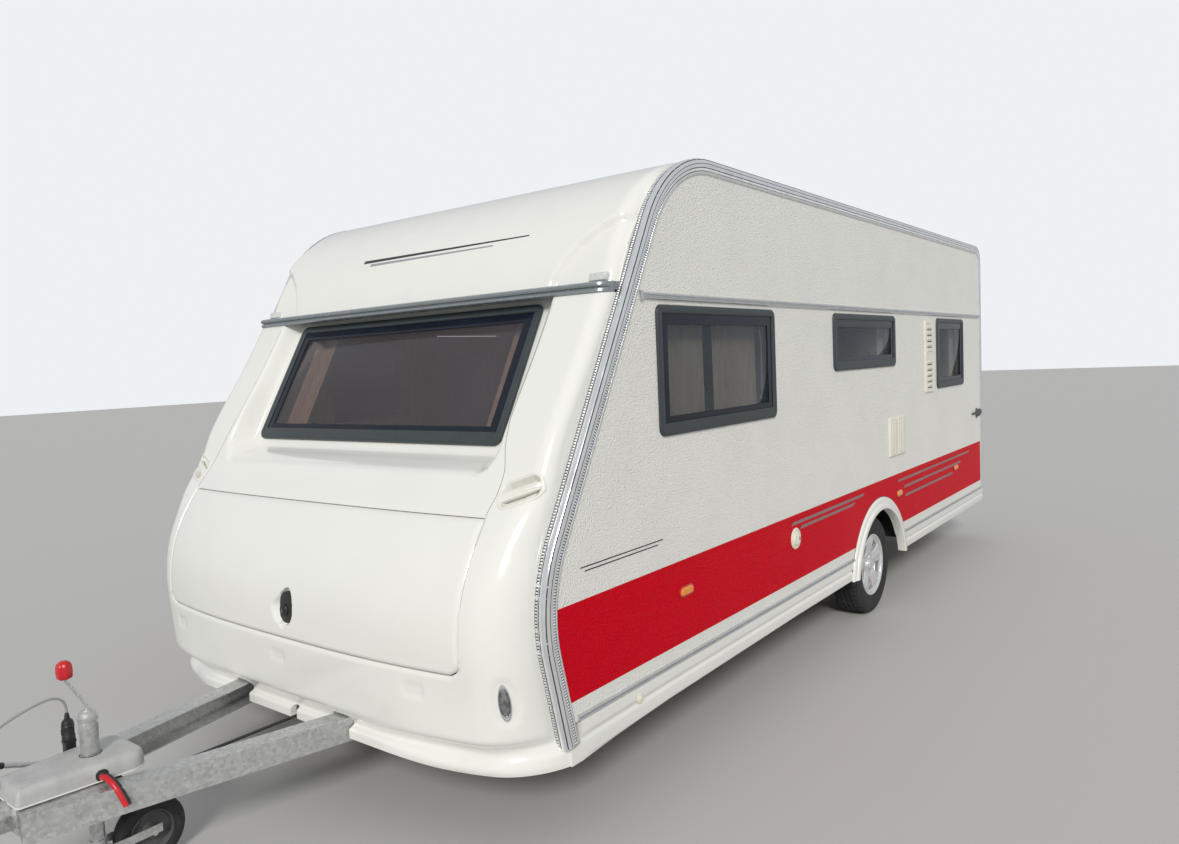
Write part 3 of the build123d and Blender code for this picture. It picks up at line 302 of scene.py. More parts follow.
# Trims and rails
look("trim_alloy", worn, "trim", (0.84, 0.86, 0.88), 0.16, 0.8, spread=0.05, scale=12, rough_spread=0.1,
     grain=0.06, grain_scale=250)
look("trim_alloy", worn, "trim_bright", (0.86, 0.87, 0.88), 0.24, 0.5, spread=0.05, scale=12)
# Dark lines on the trims: painted shade and painted dark reflection, with some dirt
look("trim_alloy", worn, "trim_dark", (0.055, 0.058, 0.062), 0.4, 0.5, spread=0.2, scale=30, dirt=0.2)
look("trim_alloy", worn, "rail", (0.66, 0.67, 0.68), 0.22, 0.85, spread=0.05, scale=12, rough_spread=0.12)
look("plastic_grey", worn, "rain", (0.3, 0.33, 0.35), 0.26, 0.6, spread=0.06, scale=12)
# Windows and curtains
look("frame_slate", worn, "slate", (0.042, 0.053, 0.058), 0.42, spread=0.08, scale=20, grain=0.1,
     Specular_IOR_Level=0.35)
look("pane", worn, "border", (0.006, 0.01, 0.02), 0.1, spread=0.2, scale=4, rough_spread=0.04,
     Specular_IOR_Level=0.3)
look("pane", tinted_pane, "pane", (0.03, 0.046, 0.062), 0.44)
# Darker, nearly opaque copy of the pane for the far side, rear and door: painted shade for the unlit cabin
# behind
look("pane", tinted_pane, "pane_deep", (0.012, 0.016, 0.022), 0.88)
look("pane", tinted_pane, "pane_front", (0.085, 0.074, 0.082), 0.44)
look("curtain", pleated_cloth, "curtain", (0.8, 0.69, 0.53))
look("curtain", pleated_cloth, "curtain_brown", (0.86, 0.56, 0.4))
# Lamps
# Lens of the front oval lamps: chrome made dark and blotchy, a painted dark reflection
look("chrome", worn, "lamp_dark", (0.34, 0.34, 0.35), 0.1, 0.9, spread=0.5, scale=40)
look("lens_orange", worn, "orange", (0.8, 0.26, 0.03), 0.18, spread=0.1, scale=60, Coat_Weight=0.5)
look("lens_red", worn, "lens_red", (0.45, 0.01, 0.012), 0.18, spread=0.1, scale=60, Coat_Weight=0.5)
look("plastic_white", worn, "lens_clear", (0.62, 0.63, 0.62), 0.12, spread=0.1, scale=60, Coat_Weight=0.5)
# Metal
look("galvanised", galvanised, "zinc", (0.56, 0.57, 0.56))
look("steel_dark", worn, "dark_steel", (0.035, 0.035, 0.04), 0.5, 0.3, spread=0.2, grain=0.3, dirt=0.4)
look("galvanised", worn, "dull_steel", (0.11, 0.11, 0.115), 0.5, 0.6, spread=0.25, grain=0.3, dirt=0.3)
look("chrome", worn, "chrome", (0.78, 0.79, 0.8), 0.1, 1.0, spread=0.03, rough_spread=0.06)
look("wheel_alloy", worn, "alloy", (0.78, 0.79, 0.8), 0.24, 0.7, spread=0.05, scale=14, grain=0.1,
     grain_scale=600, dirt=0.12)
# Plastic and rubber
look("tyre", worn, "tyre", (0.018, 0.018, 0.019), 0.72, spread=0.25, scale=14, grain=0.35, grain_scale=300,
     dirt=0.18)
look("plastic_dark", worn, "hub_grey", (0.075, 0.075, 0.078), 0.5, spread=0.15, grain=0.2, dirt=0.3)
look("plastic_white", worn, "cup", (0.77, 0.765, 0.71), 0.26, spread=0.02, scale=8, dirt=0.06)
look("plastic_grey", worn, "cover", (0.46, 0.465, 0.455), 0.46, spread=0.1, scale=16, grain=0.3,
     grain_scale=320, dirt=0.45)
look("plastic_white", worn, "ivory", (0.74, 0.715, 0.62), 0.34, spread=0.03, scale=8, dirt=0.08)
look("plastic_white", worn, "white", (0.76, 0.76, 0.73), 0.3, spread=0.02, scale=6, dirt=0.1)
look("plastic_dark", worn, "black", (0.02, 0.02, 0.022), 0.45, spread=0.2, grain=0.15)
look("plastic_grey", worn, "grey", (0.4, 0.41, 0.42), 0.5, spread=0.05, scale=18, grain=0.35,
     grain_scale=320, dirt=0.2)
look("knob_red", worn, "red", (0.56, 0.012, 0.02), 0.3, spread=0.08, scale=30)
look("cable", worn, "cable", (0.3, 0.31, 0.31), 0.5, spread=0.05, scale=60)

add_cable(MATS["cable"])


# Mesh helpers
def make(name, verts, faces, mat, body="root", replaces=(), sharp=35.0, bevel=0.0, slot=None):
    """A piece from a mesh: smooth but for its sharp edges, riding on a body."""
    mesh = bpy.data.meshes.new(name)
    mesh.from_pydata([tuple(v) for v in verts], [], [tuple(f) for f in faces])
    bm = bmesh.new()
    bm.from_mesh(mesh)
    bmesh.ops.remove_doubles(bm, verts=bm.verts, dist=1e-6)
    bmesh.ops.recalc_face_normals(bm, faces=bm.faces)
    if bevel:
        edges = [e for e in bm.edges if len(e.link_faces) == 2 and e.calc_face_angle(0) > math.radians(sharp)]
        bmesh.ops.bevel(bm, geom=edges, offset=bevel, segments=2, profile=0.5, affect="EDGES",
                        clamp_overlap=True)
    for face in bm.faces:
        face.smooth = True
    for edge in bm.edges:
        if len(edge.link_faces) == 2 and edge.calc_face_angle(0) > math.radians(sharp):
            edge.smooth = False
    bm.to_mesh(mesh)
    bm.free()
    obj = bpy.data.objects.new(name, mesh)
    bpy.context.scene.collection.objects.link(obj)
    mesh.materials.append(MATS[mat])
    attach(obj, body)
    if replaces:
        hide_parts(*([replaces] if isinstance(replaces, str) else replaces))
    return obj


class Shape:
    """Vertices and faces gathered before they become one piece."""

    def __init__(self):
        self.verts = []
        self.faces = []

    def add(self, verts, faces):
        start = len(self.verts)
        self.verts += [Vector(v) for v in verts]
        self.faces += [tuple(i + start for i in f) for f in faces]
        return self

    def mirror(self):
        start = len(self.verts)
        self.verts += [Vector((-v.x, v.y, v.z)) for v in self.verts[:start]]
        self.faces += [tuple(i + start for i in reversed(f)) for f in self.faces[:]]
        return self

    def make(self, name, mat, **options):
        return make(name, self.verts, self.faces, mat, **options)


def rings(loops, closed=True, caps=True):
    """Faces between loops of points; loops wrap round, and the first and last are capped."""
    count = len(loops[0])
    verts = [p for loop in loops for p in loop]
    faces = []
    for i in range(len(loops) - 1):
        for j in range(count if closed else count - 1):
            k = (j + 1) % count
            faces.append((i * count + j, i * count + k, (i + 1) * count + k, (i + 1) * count + j))
    if caps and closed:
        faces.append(tuple(range(count))[::-1])
        faces.append(tuple(range((len(loops) - 1) * count, len(loops) * count)))
    return verts, faces


def frame_axes(direction, hint=(0, 0, 1)):
    d = Vector(direction).normalized()
    side = d.cross(Vector(hint))
    if side.length < 1e-4:
        side = d.cross(Vector((0, 1, 0)))
    side.normalize()
    return side, side.cross(d).normalized()


def circle(center, radius, u, v, count=24, start=0.0):
    return [Vector(center) + radius * (math.cos(start + 2 * math.pi * i / count) * Vector(u)
            + math.sin(start + 2 * math.pi * i / count) * Vector(v)) for i in range(count)]


def bar(a, b, radius, count=20, end_radius=None, round_end=0.0):
    """Round bar between two points, with softened ends."""
    a, b = Vector(a), Vector(b)
    u, v = frame_axes(b - a)
    d = (b - a).normalized()
    last = radius if end_radius is None else end_radius
    soft = round_end or min(radius, last) * 0.25
    loops = [circle(a, radius - soft, u, v, count), circle(a + d * soft, radius, u, v, count),
             circle(b - d * soft, last, u, v, count), circle(b, last - soft, u, v, count)]
    return rings(loops)


def lathe(origin, axis, profile, count=48, caps=True):
    """Turn (along, radius) points about an axis."""
    u, v = frame_axes(axis)
    d = Vector(axis).normalized()
    loops = [circle(Vector(origin) + d * along, max(radius, 1e-4), u, v, count) for along, radius in profile]
    return rings(loops, caps=caps)


def tube(points, radius, count=12):
    """Round tube through points."""
    points = [Vector(p) for p in points]
    loops = []
    u, v = frame_axes(points[1] - points[0])
    for i, p in enumerate(points):
        before = points[max(i - 1, 0)]
        after = points[min(i + 1, len(points) - 1)]
        d = (after - before).normalized()
        u = (u - d * u.dot(d)).normalized()
        v = d.cross(u)
        loops.append(circle(p, radius, u, v, count))
    return rings(loops)


def block(low, high):
    x0, y0, z0 = low
    x1, y1, z1 = high
    verts = [(x, y, z) for x in (x0, x1) for y in (y0, y1) for z in (z0, z1)]
    faces = [(0, 1, 3, 2), (4, 6, 7, 5), (0, 4, 5, 1), (2, 3, 7, 6), (0, 2, 6, 4), (1, 5, 7, 3)]
    return verts, faces


def rounded_rect(width, height, radius, inset=0.0, steps=7):
    """Points (a, b) round a rounded rectangle, moved inwards."""
    radius = max(radius - inset, 0.003)
    half_w, half_h = width / 2 - inset - radius, height / 2 - inset - radius
    points = []
    for index, (sa, sb) in enumerate(((1, 1), (-1, 1), (-1, -1), (1, -1))):
        for step in range(steps + 1):
            angle = math.pi / 2 * (index + step / steps)
            points.append((sa * half_w + radius * math.cos(angle), sb * half_h + radius * math.sin(angle)))
    return points


class Face:
    """A flat place on the body: origin, across, up and out."""

    def __init__(self, origin, across, up):
        self.origin = Vector(origin)
        self.u = Vector(across).normalized()
        self.v = Vector(up).normalized()
        self.n = self.u.cross(self.v)

    def point(self, a, b, h=0.0):
        return self.origin + self.u * a + self.v * b + self.n * h

    def loops(self, width, height, radius, profile):
        """Rounded rectangles one above the other; profile is (inset, height)."""
        return [[self.point(a, b, h) for a, b in rounded_rect(width, height, radius, inset)]
                for inset, h in profile]

    def ring(self, width, height, radius, profile):
        """Moulded ring round a rounded rectangle."""
        return rings(self.loops(width, height, radius, profile), caps=False)

    def plate(self, width, height, radius, profile):
        """Raised plate, its profile from its foot to its face."""
        return rings(self.loops(width, height, radius, profile))

    def moved(self, a, b, h=0.0):
        """The same face with its origin at another place."""
        return Face(self.point(a, b, h), self.u, self.v)


def side_face(y, z, side=1):
    """Face on the side wall, looking outwards, with its across axis level."""
    return Face((side * HALF, at(y), z), (0, side, 0), (0, 0, 1))


def rear_face(x, z):
    return Face((x, REAR - 0.006, z), (-1, 0, 0), (0, 0, 1))


# Side outline, outer edge of the trims
OUTLINE = [(-6.1, 0.36), (-6.23, 0.936), (-5.276, 2.645), (0.0, 2.645), (0.0, 0.455)]
OUTLINE_RADII = [0.6, 0.6, 0.13]
SLANT = (OUTLINE[2][0] - OUTLINE[1][0]) / (OUTLINE[2][1] - OUTLINE[1][1])


def outline_path(foot, step=4.0):
    """Points and inward directions along the trimmed edge of the side wall, front foot to rear foot."""
    corners = [Vector(p) for p in OUTLINE]
    path = []

    def inward(d):
        return Vector((d.y, -d.x))

    first = (corners[1] - corners[0]).normalized()
    start = corners[0] + first * ((foot - corners[0].y) / first.y)
    path.append((start, inward(first)))
    for index, radius in enumerate(OUTLINE_RADII):
        before, here, after = corners[index:index + 3]
        d0, d1 = (here - before).normalized(), (after - here).normalized()
        turn = d0.angle(d1)
        back = radius * math.tan(turn / 2)
        centre = here - d0 * back + inward(d0) * radius
        count = max(3, int(math.degrees(turn) / step) + 1)
        angle0 = math.atan2(-inward(d0).y, -inward(d0).x)
        for i in range(count + 1):
            angle = angle0 - turn * i / count
            out = Vector((math.cos(angle), math.sin(angle)))
            path.append((centre + out * radius, -out))
    last = (corners[4] - corners[3]).normalized()
    path.append((corners[4], inward(last)))
    filled = []
    for (p, n), (q, m) in zip(path, path[1:]):
        parts = max(1, int((q - p).length / 0.25))
        filled += [(p.lerp(q, i / parts), n.lerp(m, i / parts).normalized()) for i in range(parts)]
    return filled + [path[-1]]


def trim_edge(z):
    """y of the trimmed front edge at a height, from the rear wall."""
    best = None
    for (p, _), (q, _) in zip(EDGE_PATH, EDGE_PATH[1:]):
        if p.y <= z <= q.y:
            best = p.x + (q.x - p.x) * (z - p.y) / max(q.y - p.y, 1e-6)
            break
    return best if best is not None else EDGE_PATH[0][0].x


EDGE_PATH = outline_path(0.29)


def edge_point(p, n, inset, out):
    """Place on the left trim, from a point of the outline and its direction inwards."""
    return Vector((HALF + out, at(p.x + n.x * inset), p.y + n.y * inset))


TRIM_PROFILE = [
    (0.0045, -0.0465), (-0.0015, -0.0465), (-0.0026, -0.046), (-0.0026, -0.045), (-0.0012, -0.0444),
    (-0.0012, -0.031), (-0.0034, -0.03), (-0.005, -0.025), (-0.0056, -0.018),
    (-0.005, -0.008), (-0.0036, -0.001), (-0.0006, 0.004), (0.004, 0.0074), (0.01, 0.0095),
    (0.02, 0.0108), (0.029, 0.0109), (0.0345, 0.0098), (0.036, 0.0062), (0.0525, 0.0058),
    (0.0535, 0.0082), (0.056, 0.0092), (0.061, 0.0082), (0.0645, 0.005), (0.0655, -0.0005),
    (0.064, -0.002), (0.0055, -0.002),
]
TRIM_FOOT = 0.37
trims = Shape()
trims.add(*rings([[edge_point(p, n, *spot) for spot in TRIM_PROFILE] for p, n in outline_path(TRIM_FOOT)]))
trims.mirror()
trims.make("trim_mouldings", "trim", replaces="corner_trims", sharp=32)


def edge_stations(pitch, foot=TRIM_FOOT + 0.006):
    """Places along the outline at an even pitch: point, inward direction and direction along."""
    path = outline_path(foot, 1.5)
    stations = []
    due = 0.0
    for (p, n), (q, m) in zip(path, path[1:]):
        length = (q - p).length
        while due < length:
            t = due / length
            stations.append((p.lerp(q, t), n.lerp(m, t).normalized(), (q - p).normalized()))
            due += pitch
        due -= length
    return stations


def bead(centre, along, across, up, half):
    """Small bead with a flat top; half is half its width across the groove."""
    loops = [[centre + along * a * length + across * b * half * share + up * height
              for a, b in ((-1, -1), (1, -1), (1, 1), (-1, 1))]
             for length, share, height in ((0.0036, 1.0, 0.0), (0.002, 0.6, 0.0024))]
    sides = [(0, 1, 5, 4), (1, 2, 6, 5), (2, 3, 7, 6), (3, 0, 4, 7)]
    return loops[0] + loops[1], sides + [(4, 5, 6, 7)]


# Dark lines along the trims, painted shade in the grooves and painted dark reflections along the polished
# face: the (inset, out) of both edges, and where the beads on it look
TRIM_SHADE_LINES = [
    ((-0.0016, -0.0444), (-0.0016, -0.0308), "front"), ((0.036, 0.0068), (0.0525, 0.0063), "side"),
    ((-0.0054, -0.0252), (-0.0058, -0.0215), None), ((-0.0008, 0.0042), (0.003, 0.007), None),
    ((0.018, 0.0109), (0.0205, 0.0111), None),
]
BEAD_PITCH = 0.0115
BEAD_HALF = {"front": 0.005, "side": 0.0062}
strips, beads = Shape(), Shape()
for first, second, way in TRIM_SHADE_LINES:
    strips.add(*rings([[edge_point(p, n, *spot) for spot in (first, second)]
                       for p, n, _ in edge_stations(0.05)], closed=False))
    for p, n, d in edge_stations(BEAD_PITCH) if way else ():
        centre = edge_point(p, n, (first[0] + second[0]) / 2, (first[1] + second[1]) / 2)
        outward, inward = Vector((1, 0, 0)), Vector((0, n.x, n.y))
        across, up = (outward, -inward) if way == "front" else (inward, outward)
        beads.add(*bead(centre, Vector((0, d.x, d.y)), across, up, BEAD_HALF[way]))
# Strips in the darkened trim colour: painted shade and painted dark reflection
for shape, name, mat in ((strips, "trim_grooves", "trim_dark"), (beads, "trim_beads", "trim_bright")):
    shape.mirror()
    shape.make(name, mat, sharp=60)


# Front moulding
def spline(xs, ys):
    """Natural cubic curve through points."""
    xs, ys = np.asarray(xs, float), np.asarray(ys, float)
    n = len(xs)
    h = np.diff(xs)
    matrix = np.zeros((n, n))
    right = np.zeros(n)
    matrix[0, 0] = matrix[-1, -1] = 1
    for i in range(1, n - 1):
        matrix[i, i - 1:i + 2] = (h[i - 1], 2 * (h[i - 1] + h[i]), h[i])
        right[i] = 6 * ((ys[i + 1] - ys[i]) / h[i] - (ys[i] - ys[i - 1]) / h[i - 1])
    m = np.linalg.solve(matrix, right)

    def value(x):
        i = int(np.clip(np.searchsorted(xs, x) - 1, 0, n - 2))
        t = x - xs[i]
        s = h[i]
        return (ys[i] + t * ((ys[i + 1] - ys[i]) / s - s * (2 * m[i] + m[i + 1]) / 6) + t * t * m[i] / 2
                + t ** 3 * (m[i + 1] - m[i]) / (6 * s))

    return value


# Height, then y at the centre, at |x| 0.6, at |x| 1.01 and at the corner, and the corner's radius
NOSE = [
    (0.3, -6.39, -6.368, -6.305, -6.2, 0.19),
    (0.32, -6.397, -6.375, -6.313, -6.209, 0.19),
    (0.345, -6.384, -6.364, -6.305, -6.208, 0.19),
    (0.375, -6.352, -6.335, -6.29, -6.214, 0.18),
    (0.405, -6.372, -6.356, -6.312, -6.244, 0.172),
    (0.435, -6.424, -6.408, -6.358, -6.292, 0.17),
    (0.47, -6.44, -6.424, -6.372, -6.31, 0.17),
    (0.52, -6.44, -6.427, -6.374, -6.322, 0.17),
    (0.64, -6.445, -6.431, -6.379, -6.342, 0.166),
    (0.749, -6.446, -6.431, -6.386, -6.35, 0.165),
    (0.85, -6.438, -6.424, -6.38, -6.345, 0.162),
    (0.985, -6.4, -6.388, -6.348, -6.314, 0.15),
    (1.101, -6.338, -6.328, -6.294, -6.262, 0.13),
    (1.222, -6.24, -6.234, -6.214, -6.2, 0.1),
    (1.345, -6.124, -6.121, -6.114, -6.108, 0.07),
    (1.446, -6.072, -6.07, -6.064, -6.06, 0.06),
    (1.726, -5.897, -5.895, -5.889, -5.884, 0.06),
    (2.046, -5.701, -5.699, -5.692, -5.686, 0.06),
]
NOSE_LINES = [spline([row[0] for row in NOSE], [row[i] for row in NOSE]) for i in (1, 2, 3, 4)]
SIDE_X = 1.205
LIP_WIDE = [(0.3, 1.25), (0.352, 1.25), (0.4, SIDE_X), (2.1, SIDE_X)]


def smooth(t):
    t = min(max(t, 0.0), 1.0)
    return t * t * (3 - 2 * t)


def blend_table(table, value):
    return float(np.interp(value, [r[0] for r in table], [r[1] for r in table]))


def rounded_edge(radius, over):
    """How far a surface has fallen back at a distance over the start of its rounded edge."""
    return radius - math.sqrt(max(radius ** 2 - over ** 2, 0.0))


row_curves = {}


def raised_y(x, z):
    """Front surface without its recess, rounded into the side faces and never behind the side outline."""
    key = round(z, 6)
    wide = blend_table(LIP_WIDE, z)
    if key not in row_curves:
        c, m, s, k = (line(z) for line in NOSE_LINES)
        row_curves[key] = spline([-wide, -1.01, -0.6, 0, 0.6, 1.01, wide], [k, s, m, c, m, s, k])
    x = min(max(x, -wide), wide)
    y = float(row_curves[key](x))
    radius = blend_table([(row[0], row[5]) for row in NOSE], z)
    over = abs(x) - (wide - radius)
    if over > 0:
        y += rounded_edge(radius, over)
    return min(y, trim_edge(z) + (0.08 if z < 0.36 else 0.0))


def widened(u, z):
    """x of a column of the moulding: the lip at its foot is wider than the rest."""
    if abs(u) <= 1.0:
        return u
    wide = blend_table(LIP_WIDE, z)
    return math.copysign(1.0 + (abs(u) - 1.0) * (wide - 1.0) / (SIDE_X - 1.0), u)


RECESS_HALF = 0.895
RECESS_FOOT = 1.41
RECESS_DRAFT = 0.052
RECESS_FOOT_DRAFT = 0.062


def rounded_gap(x, z, half, foot, radius):
    """Signed distance to the lower part of an upright rounded slot: negative inside."""
    dx = abs(x) - (half - radius)
    dz = (foot + radius) - z
    if dx > 0 and dz > 0:
        return math.hypot(dx, dz) - radius
    return max(dx - radius, dz - radius)


def front_y(x, z):
    """Front surface, with the window's recess let into it."""
    y = raised_y(x, z)
    distance = rounded_gap(x, z, RECESS_HALF, RECESS_FOOT, 0.055)
    if z > 1.2 and distance < 0.08:
        plane = OUTLINE[1][0] + (z - OUTLINE[1][1]) * SLANT + 0.002
        side_d = abs(x) - RECESS_HALF
        foot_d = RECESS_FOOT - z
        draft = RECESS_FOOT_DRAFT if foot_d > side_d else RECESS_DRAFT
        depth = 1.0 - min(max(distance / draft, 0.0), 1.0)
        if foot_d > side_d:
            depth = depth ** 1.5
        y = y + (plane - y) * depth
    return y


def carve(point, us, vs, sdf=None, flange=None, wrap=False):
    """Grid surface over us and vs.

    sdf is negative where the surface stays, and its edge is drawn clean. flange moves an edge point.
    """
    nu, nv = len(us), len(vs)
    params = {}
    value = {}
    for i, u in enumerate(us):
        for j, v in enumerate(vs):
            params[i, j] = (u, v)
            value[i, j] = sdf(u, v) if sdf else -1.0
    kept = []
    for i in range(nu if wrap else nu - 1):
        k = (i + 1) % nu
        for j in range(nv - 1):
            corners = [(i, j), (k, j), (k, j + 1), (i, j + 1)]
            if sum(value[c] for c in corners) / 4 < 0:
                kept.append(corners)
    if sdf:
        uses = {}
        for cell in kept:
            for a, b in zip(cell, cell[1:] + cell[:1]):
                uses[frozenset((a, b))] = uses.get(frozenset((a, b)), 0) + 1
        edge_points = {c for edge, n in uses.items() if n == 1 for c in edge}
        du = abs(us[1] - us[0])
        dv = abs(vs[1] - vs[0])
        for c in edge_points:
            i, j = c
            near_u = max(abs(us[min(i + 1, nu - 1)] - us[i]), abs(us[i] - us[max(i - 1, 0)]), du * 0.5)
            near_v = max(abs(vs[min(j + 1, nv - 1)] - vs[j]), abs(vs[j] - vs[max(j - 1, 0)]), dv * 0.5)
            u, v = params[c]
            reach = max(near_u, near_v)
            border = (not wrap and i in (0, nu - 1)) or j in (0, nv - 1)
            if abs(value[c]) > 1.3 * reach or (border and value[c] < -0.3 * reach):
                continue
            for _ in range(3):
                d = sdf(u, v)
                e = 1e-4
                gu = (sdf(u + e, v) - sdf(u - e, v)) / (2 * e)
                gv = (sdf(u, v + e) - sdf(u, v - e)) / (2 * e)
                size = gu * gu + gv * gv
                if size < 1e-9:
                    break
                u, v = u - d * gu / size, v - d * gv / size
            params[c] = (u, v)
    index = {}
    verts = []
    faces = []
    for cell in kept:
        ids = []
        for c in cell:
            if c not in index:
                index[c] = len(verts)
                verts.append(Vector(point(*params[c])))
            ids.append(index[c])
        faces.append(tuple(ids))
    if flange:
        uses = {}
        for face in faces:
            for a, b in zip(face, face[1:] + face[:1]):
                uses.setdefault(frozenset((a, b)), []).append((a, b))
        moved = {}
        for pairs in list(uses.values()):
            if len(pairs) == 1:
                a, b = pairs[0]
                for c in (a, b):
                    if c not in moved:
                        moved[c] = len(verts)
                        verts.append(Vector(flange(verts[c])))
                faces.append((b, a, moved[a], moved[b]))
    return verts, faces


def span(start, stop, step):
    count = max(1, int(round(abs(stop - start) / step)))
    return [start + (stop - start) * i / count for i in range(count + 1)]


def nose_columns():
    """x values across the moulding, denser at the rounded corners."""
    corner = [1.035 + (SIDE_X - 1.035) * math.sin(math.pi / 2 * i / 22) for i in range(1, 23)]
    half = span(0.0, 1.035, 0.0104)[1:] + corner
    return [-x for x in reversed(half)] + [0.0] + half


LID_X = 1.005
LID_Z0 = 0.685
LID_Z1 = 1.214
LID_GAP = 0.004


def lid_distance(x, z, grow=0.0):
    """Signed distance to the lid's outline, negative inside."""
    radius = 0.055
    half = LID_X + grow
    low, high = LID_Z0 - grow, LID_Z1 + grow
    dx = abs(x) - half
    if z < low + radius and abs(x) > half - radius:
        return math.hypot(abs(x) - half + radius, low + radius - z) - radius
    return max(dx, low - z, z - high)


def box_distance(x, z, x0, x1, z0, z1, radius):
    cx, cz = (x0 + x1) / 2, (z0 + z1) / 2
    qx = abs(x - cx) - (x1 - x0) / 2 + radius
    qz = abs(z - cz) - (z1 - z0) / 2 + radius
    return math.hypot(max(qx, 0), max(qz, 0)) + min(max(qx, qz), 0) - radius


def member_gap(x, z):
    """Slots in the skirt for the drawbar members and the brake rod."""
    members = box_distance(abs(x), z, 0.296, 0.412, 0.2, 0.426, 0.022)
    rod = box_distance(x, z, 0.018, 0.062, 0.2, 0.372, 0.018)
    return min(members, rod)


WINDOW_Z = 1.7285
WINDOW_Y = OUTLINE[1][0] + (WINDOW_Z - OUTLINE[1][1]) * SLANT
WINDOW_SIZE = (1.696, 0.647)
front_window = Face((0, at(WINDOW_Y), WINDOW_Z), (1, 0, 0), (0, SLANT, 1))
HANDLE = (1.115, 1.314)
HANDLE_TILT = math.radians(18)


def handle_place(x, z):
    """Coordinates in the front hand hold, along its tilted length and across it."""
    dx, dz = abs(x) - HANDLE[0], z - HANDLE[1]
    c, s = math.cos(HANDLE_TILT), math.sin(HANDLE_TILT)
    return dx * c + dz * s, -dx * s + dz * c


def from_handle(along, across, side):
    """x and z of a place in the hand hold."""
    c, s = math.cos(HANDLE_TILT), math.sin(HANDLE_TILT)
    return side * (HANDLE[0] + along * c - across * s), HANDLE[1] + along * s + across * c


def handle_distance(along, across):
    return box_distance(along, across, -0.092, 0.079, -0.048, 0.048, 0.038)


LAMP = (1.148, 0.594)
LAMP_SEAT = (0.03, 0.082)
SEAT_DEPTH = 0.012
MARKS = ((-0.9, 0.6), (-0.02, 0.602), (0.79, 0.604))
MARK_HALF = (0.05, 0.028)
MARK_DEPTH = 0.0034
GAP_EDGE = 0.007
LIP_Y = -6.425


def moulding_point(u, z):
    x = widened(u, z)
    y = front_y(x, z)
    lamp = math.hypot((abs(x) - LAMP[0]) / LAMP_SEAT[0], (z - LAMP[1]) / LAMP_SEAT[1]) - 1
    if lamp < 0.25:
        y += SEAT_DEPTH * smooth((0.25 - lamp) / 0.45)
    edge = lid_distance(x, z, LID_GAP)
    if 0 <= edge < GAP_EDGE:
        y += rounded_edge(GAP_EDGE, GAP_EDGE - edge)
    middle = smooth((0.95 - abs(x)) / 0.4) * smooth((0.462 - z) / 0.04)
    y += (min(y, LIP_Y) - y) * middle * (0.95 - 0.3 * smooth((z - 0.345) / 0.03))
    for mark_x, mark_z in MARKS:
        mark = box_distance(x, z, mark_x - MARK_HALF[0], mark_x + MARK_HALF[0], mark_z - MARK_HALF[1],
                            mark_z + MARK_HALF[1], 0.012)
        y += MARK_DEPTH * smooth(-mark / 0.005)
    return (x, at(y), z + 0.04 * middle * (1 - smooth((z - 0.3) / 0.125)))


def moulding_keep(x, z):
    lid = -lid_distance(x, z, LID_GAP)
    window = -box_distance(x, (z - WINDOW_Z) * math.sqrt(1 + SLANT ** 2), -0.82, 0.82, -0.3, 0.3, 0.03)
    return max(lid, window, -member_gap(x, z), -handle_distance(*handle_place(x, z)))


def moulding_flange(p):
    """Edge of the moulding turned back: to the trims at the sides, by its thickness elsewhere."""
    if abs(p.x) > SIDE_X - 0.0005:
        return (p.x, max(p.y + 0.004, at(trim_edge(p.z) + (0.08 if p.z < 0.4 else 0.012))), p.z)
    return (p.x, p.y + 0.028, p.z)


heights = span(0.3, 0.46, 0.0075) + span(0.46, 2.046, 0.0105)[1:]
moulding = Shape()
moulding.add(*carve(moulding_point, nose_columns(), heights, lambda u, z: moulding_keep(widened(u, z), z),
                    moulding_flange))
moulding.make("front_moulding", "gel", replaces=["front_panel", "front_locker", "front_skirt"], sharp=50)


def on_nose(x, z, lift=0.0):
    """Point on the raised front surface, lifted along its normal."""
    e = 0.004
    du = Vector((2 * e, raised_y(x + e, z) - raised_y(x - e, z), 0))
    dv = Vector((0, raised_y(x, z + e) - raised_y(x, z - e), 2 * e))
    return Vector((x, at(raised_y(x, z)), z)) + du.cross(dv).normalized() * lift

# Hand holds in the front corners and handles at the rear
GRIP_PROFILE = [
    (-0.015, -0.016), (-0.0165, -0.006), (-0.0145, -0.001), (-0.009, 0.0018), (-0.0075, -0.0004),
    (-0.006, 0.0022), (0.002, 0.0026), (0.0035, 0.0002), (0.005, 0.0026), (0.01, 0.0015),
    (0.0125, -0.003), (0.0115, -0.016),
]
REAR_GRIP = [(-0.115, 0.0), (-0.113, 0.016), (-0.1, 0.026), (0.1, 0.026), (0.113, 0.016), (0.115, 0.0)]


def in_hold(along, across, side, lift, margin):
    """Place in a front hand hold, lifted off the surface and kept a margin inside the moulding's side."""
    x, z = from_handle(along, across, side)
    return on_nose(math.copysign(min(abs(x), SIDE_X - margin), x), z, lift)


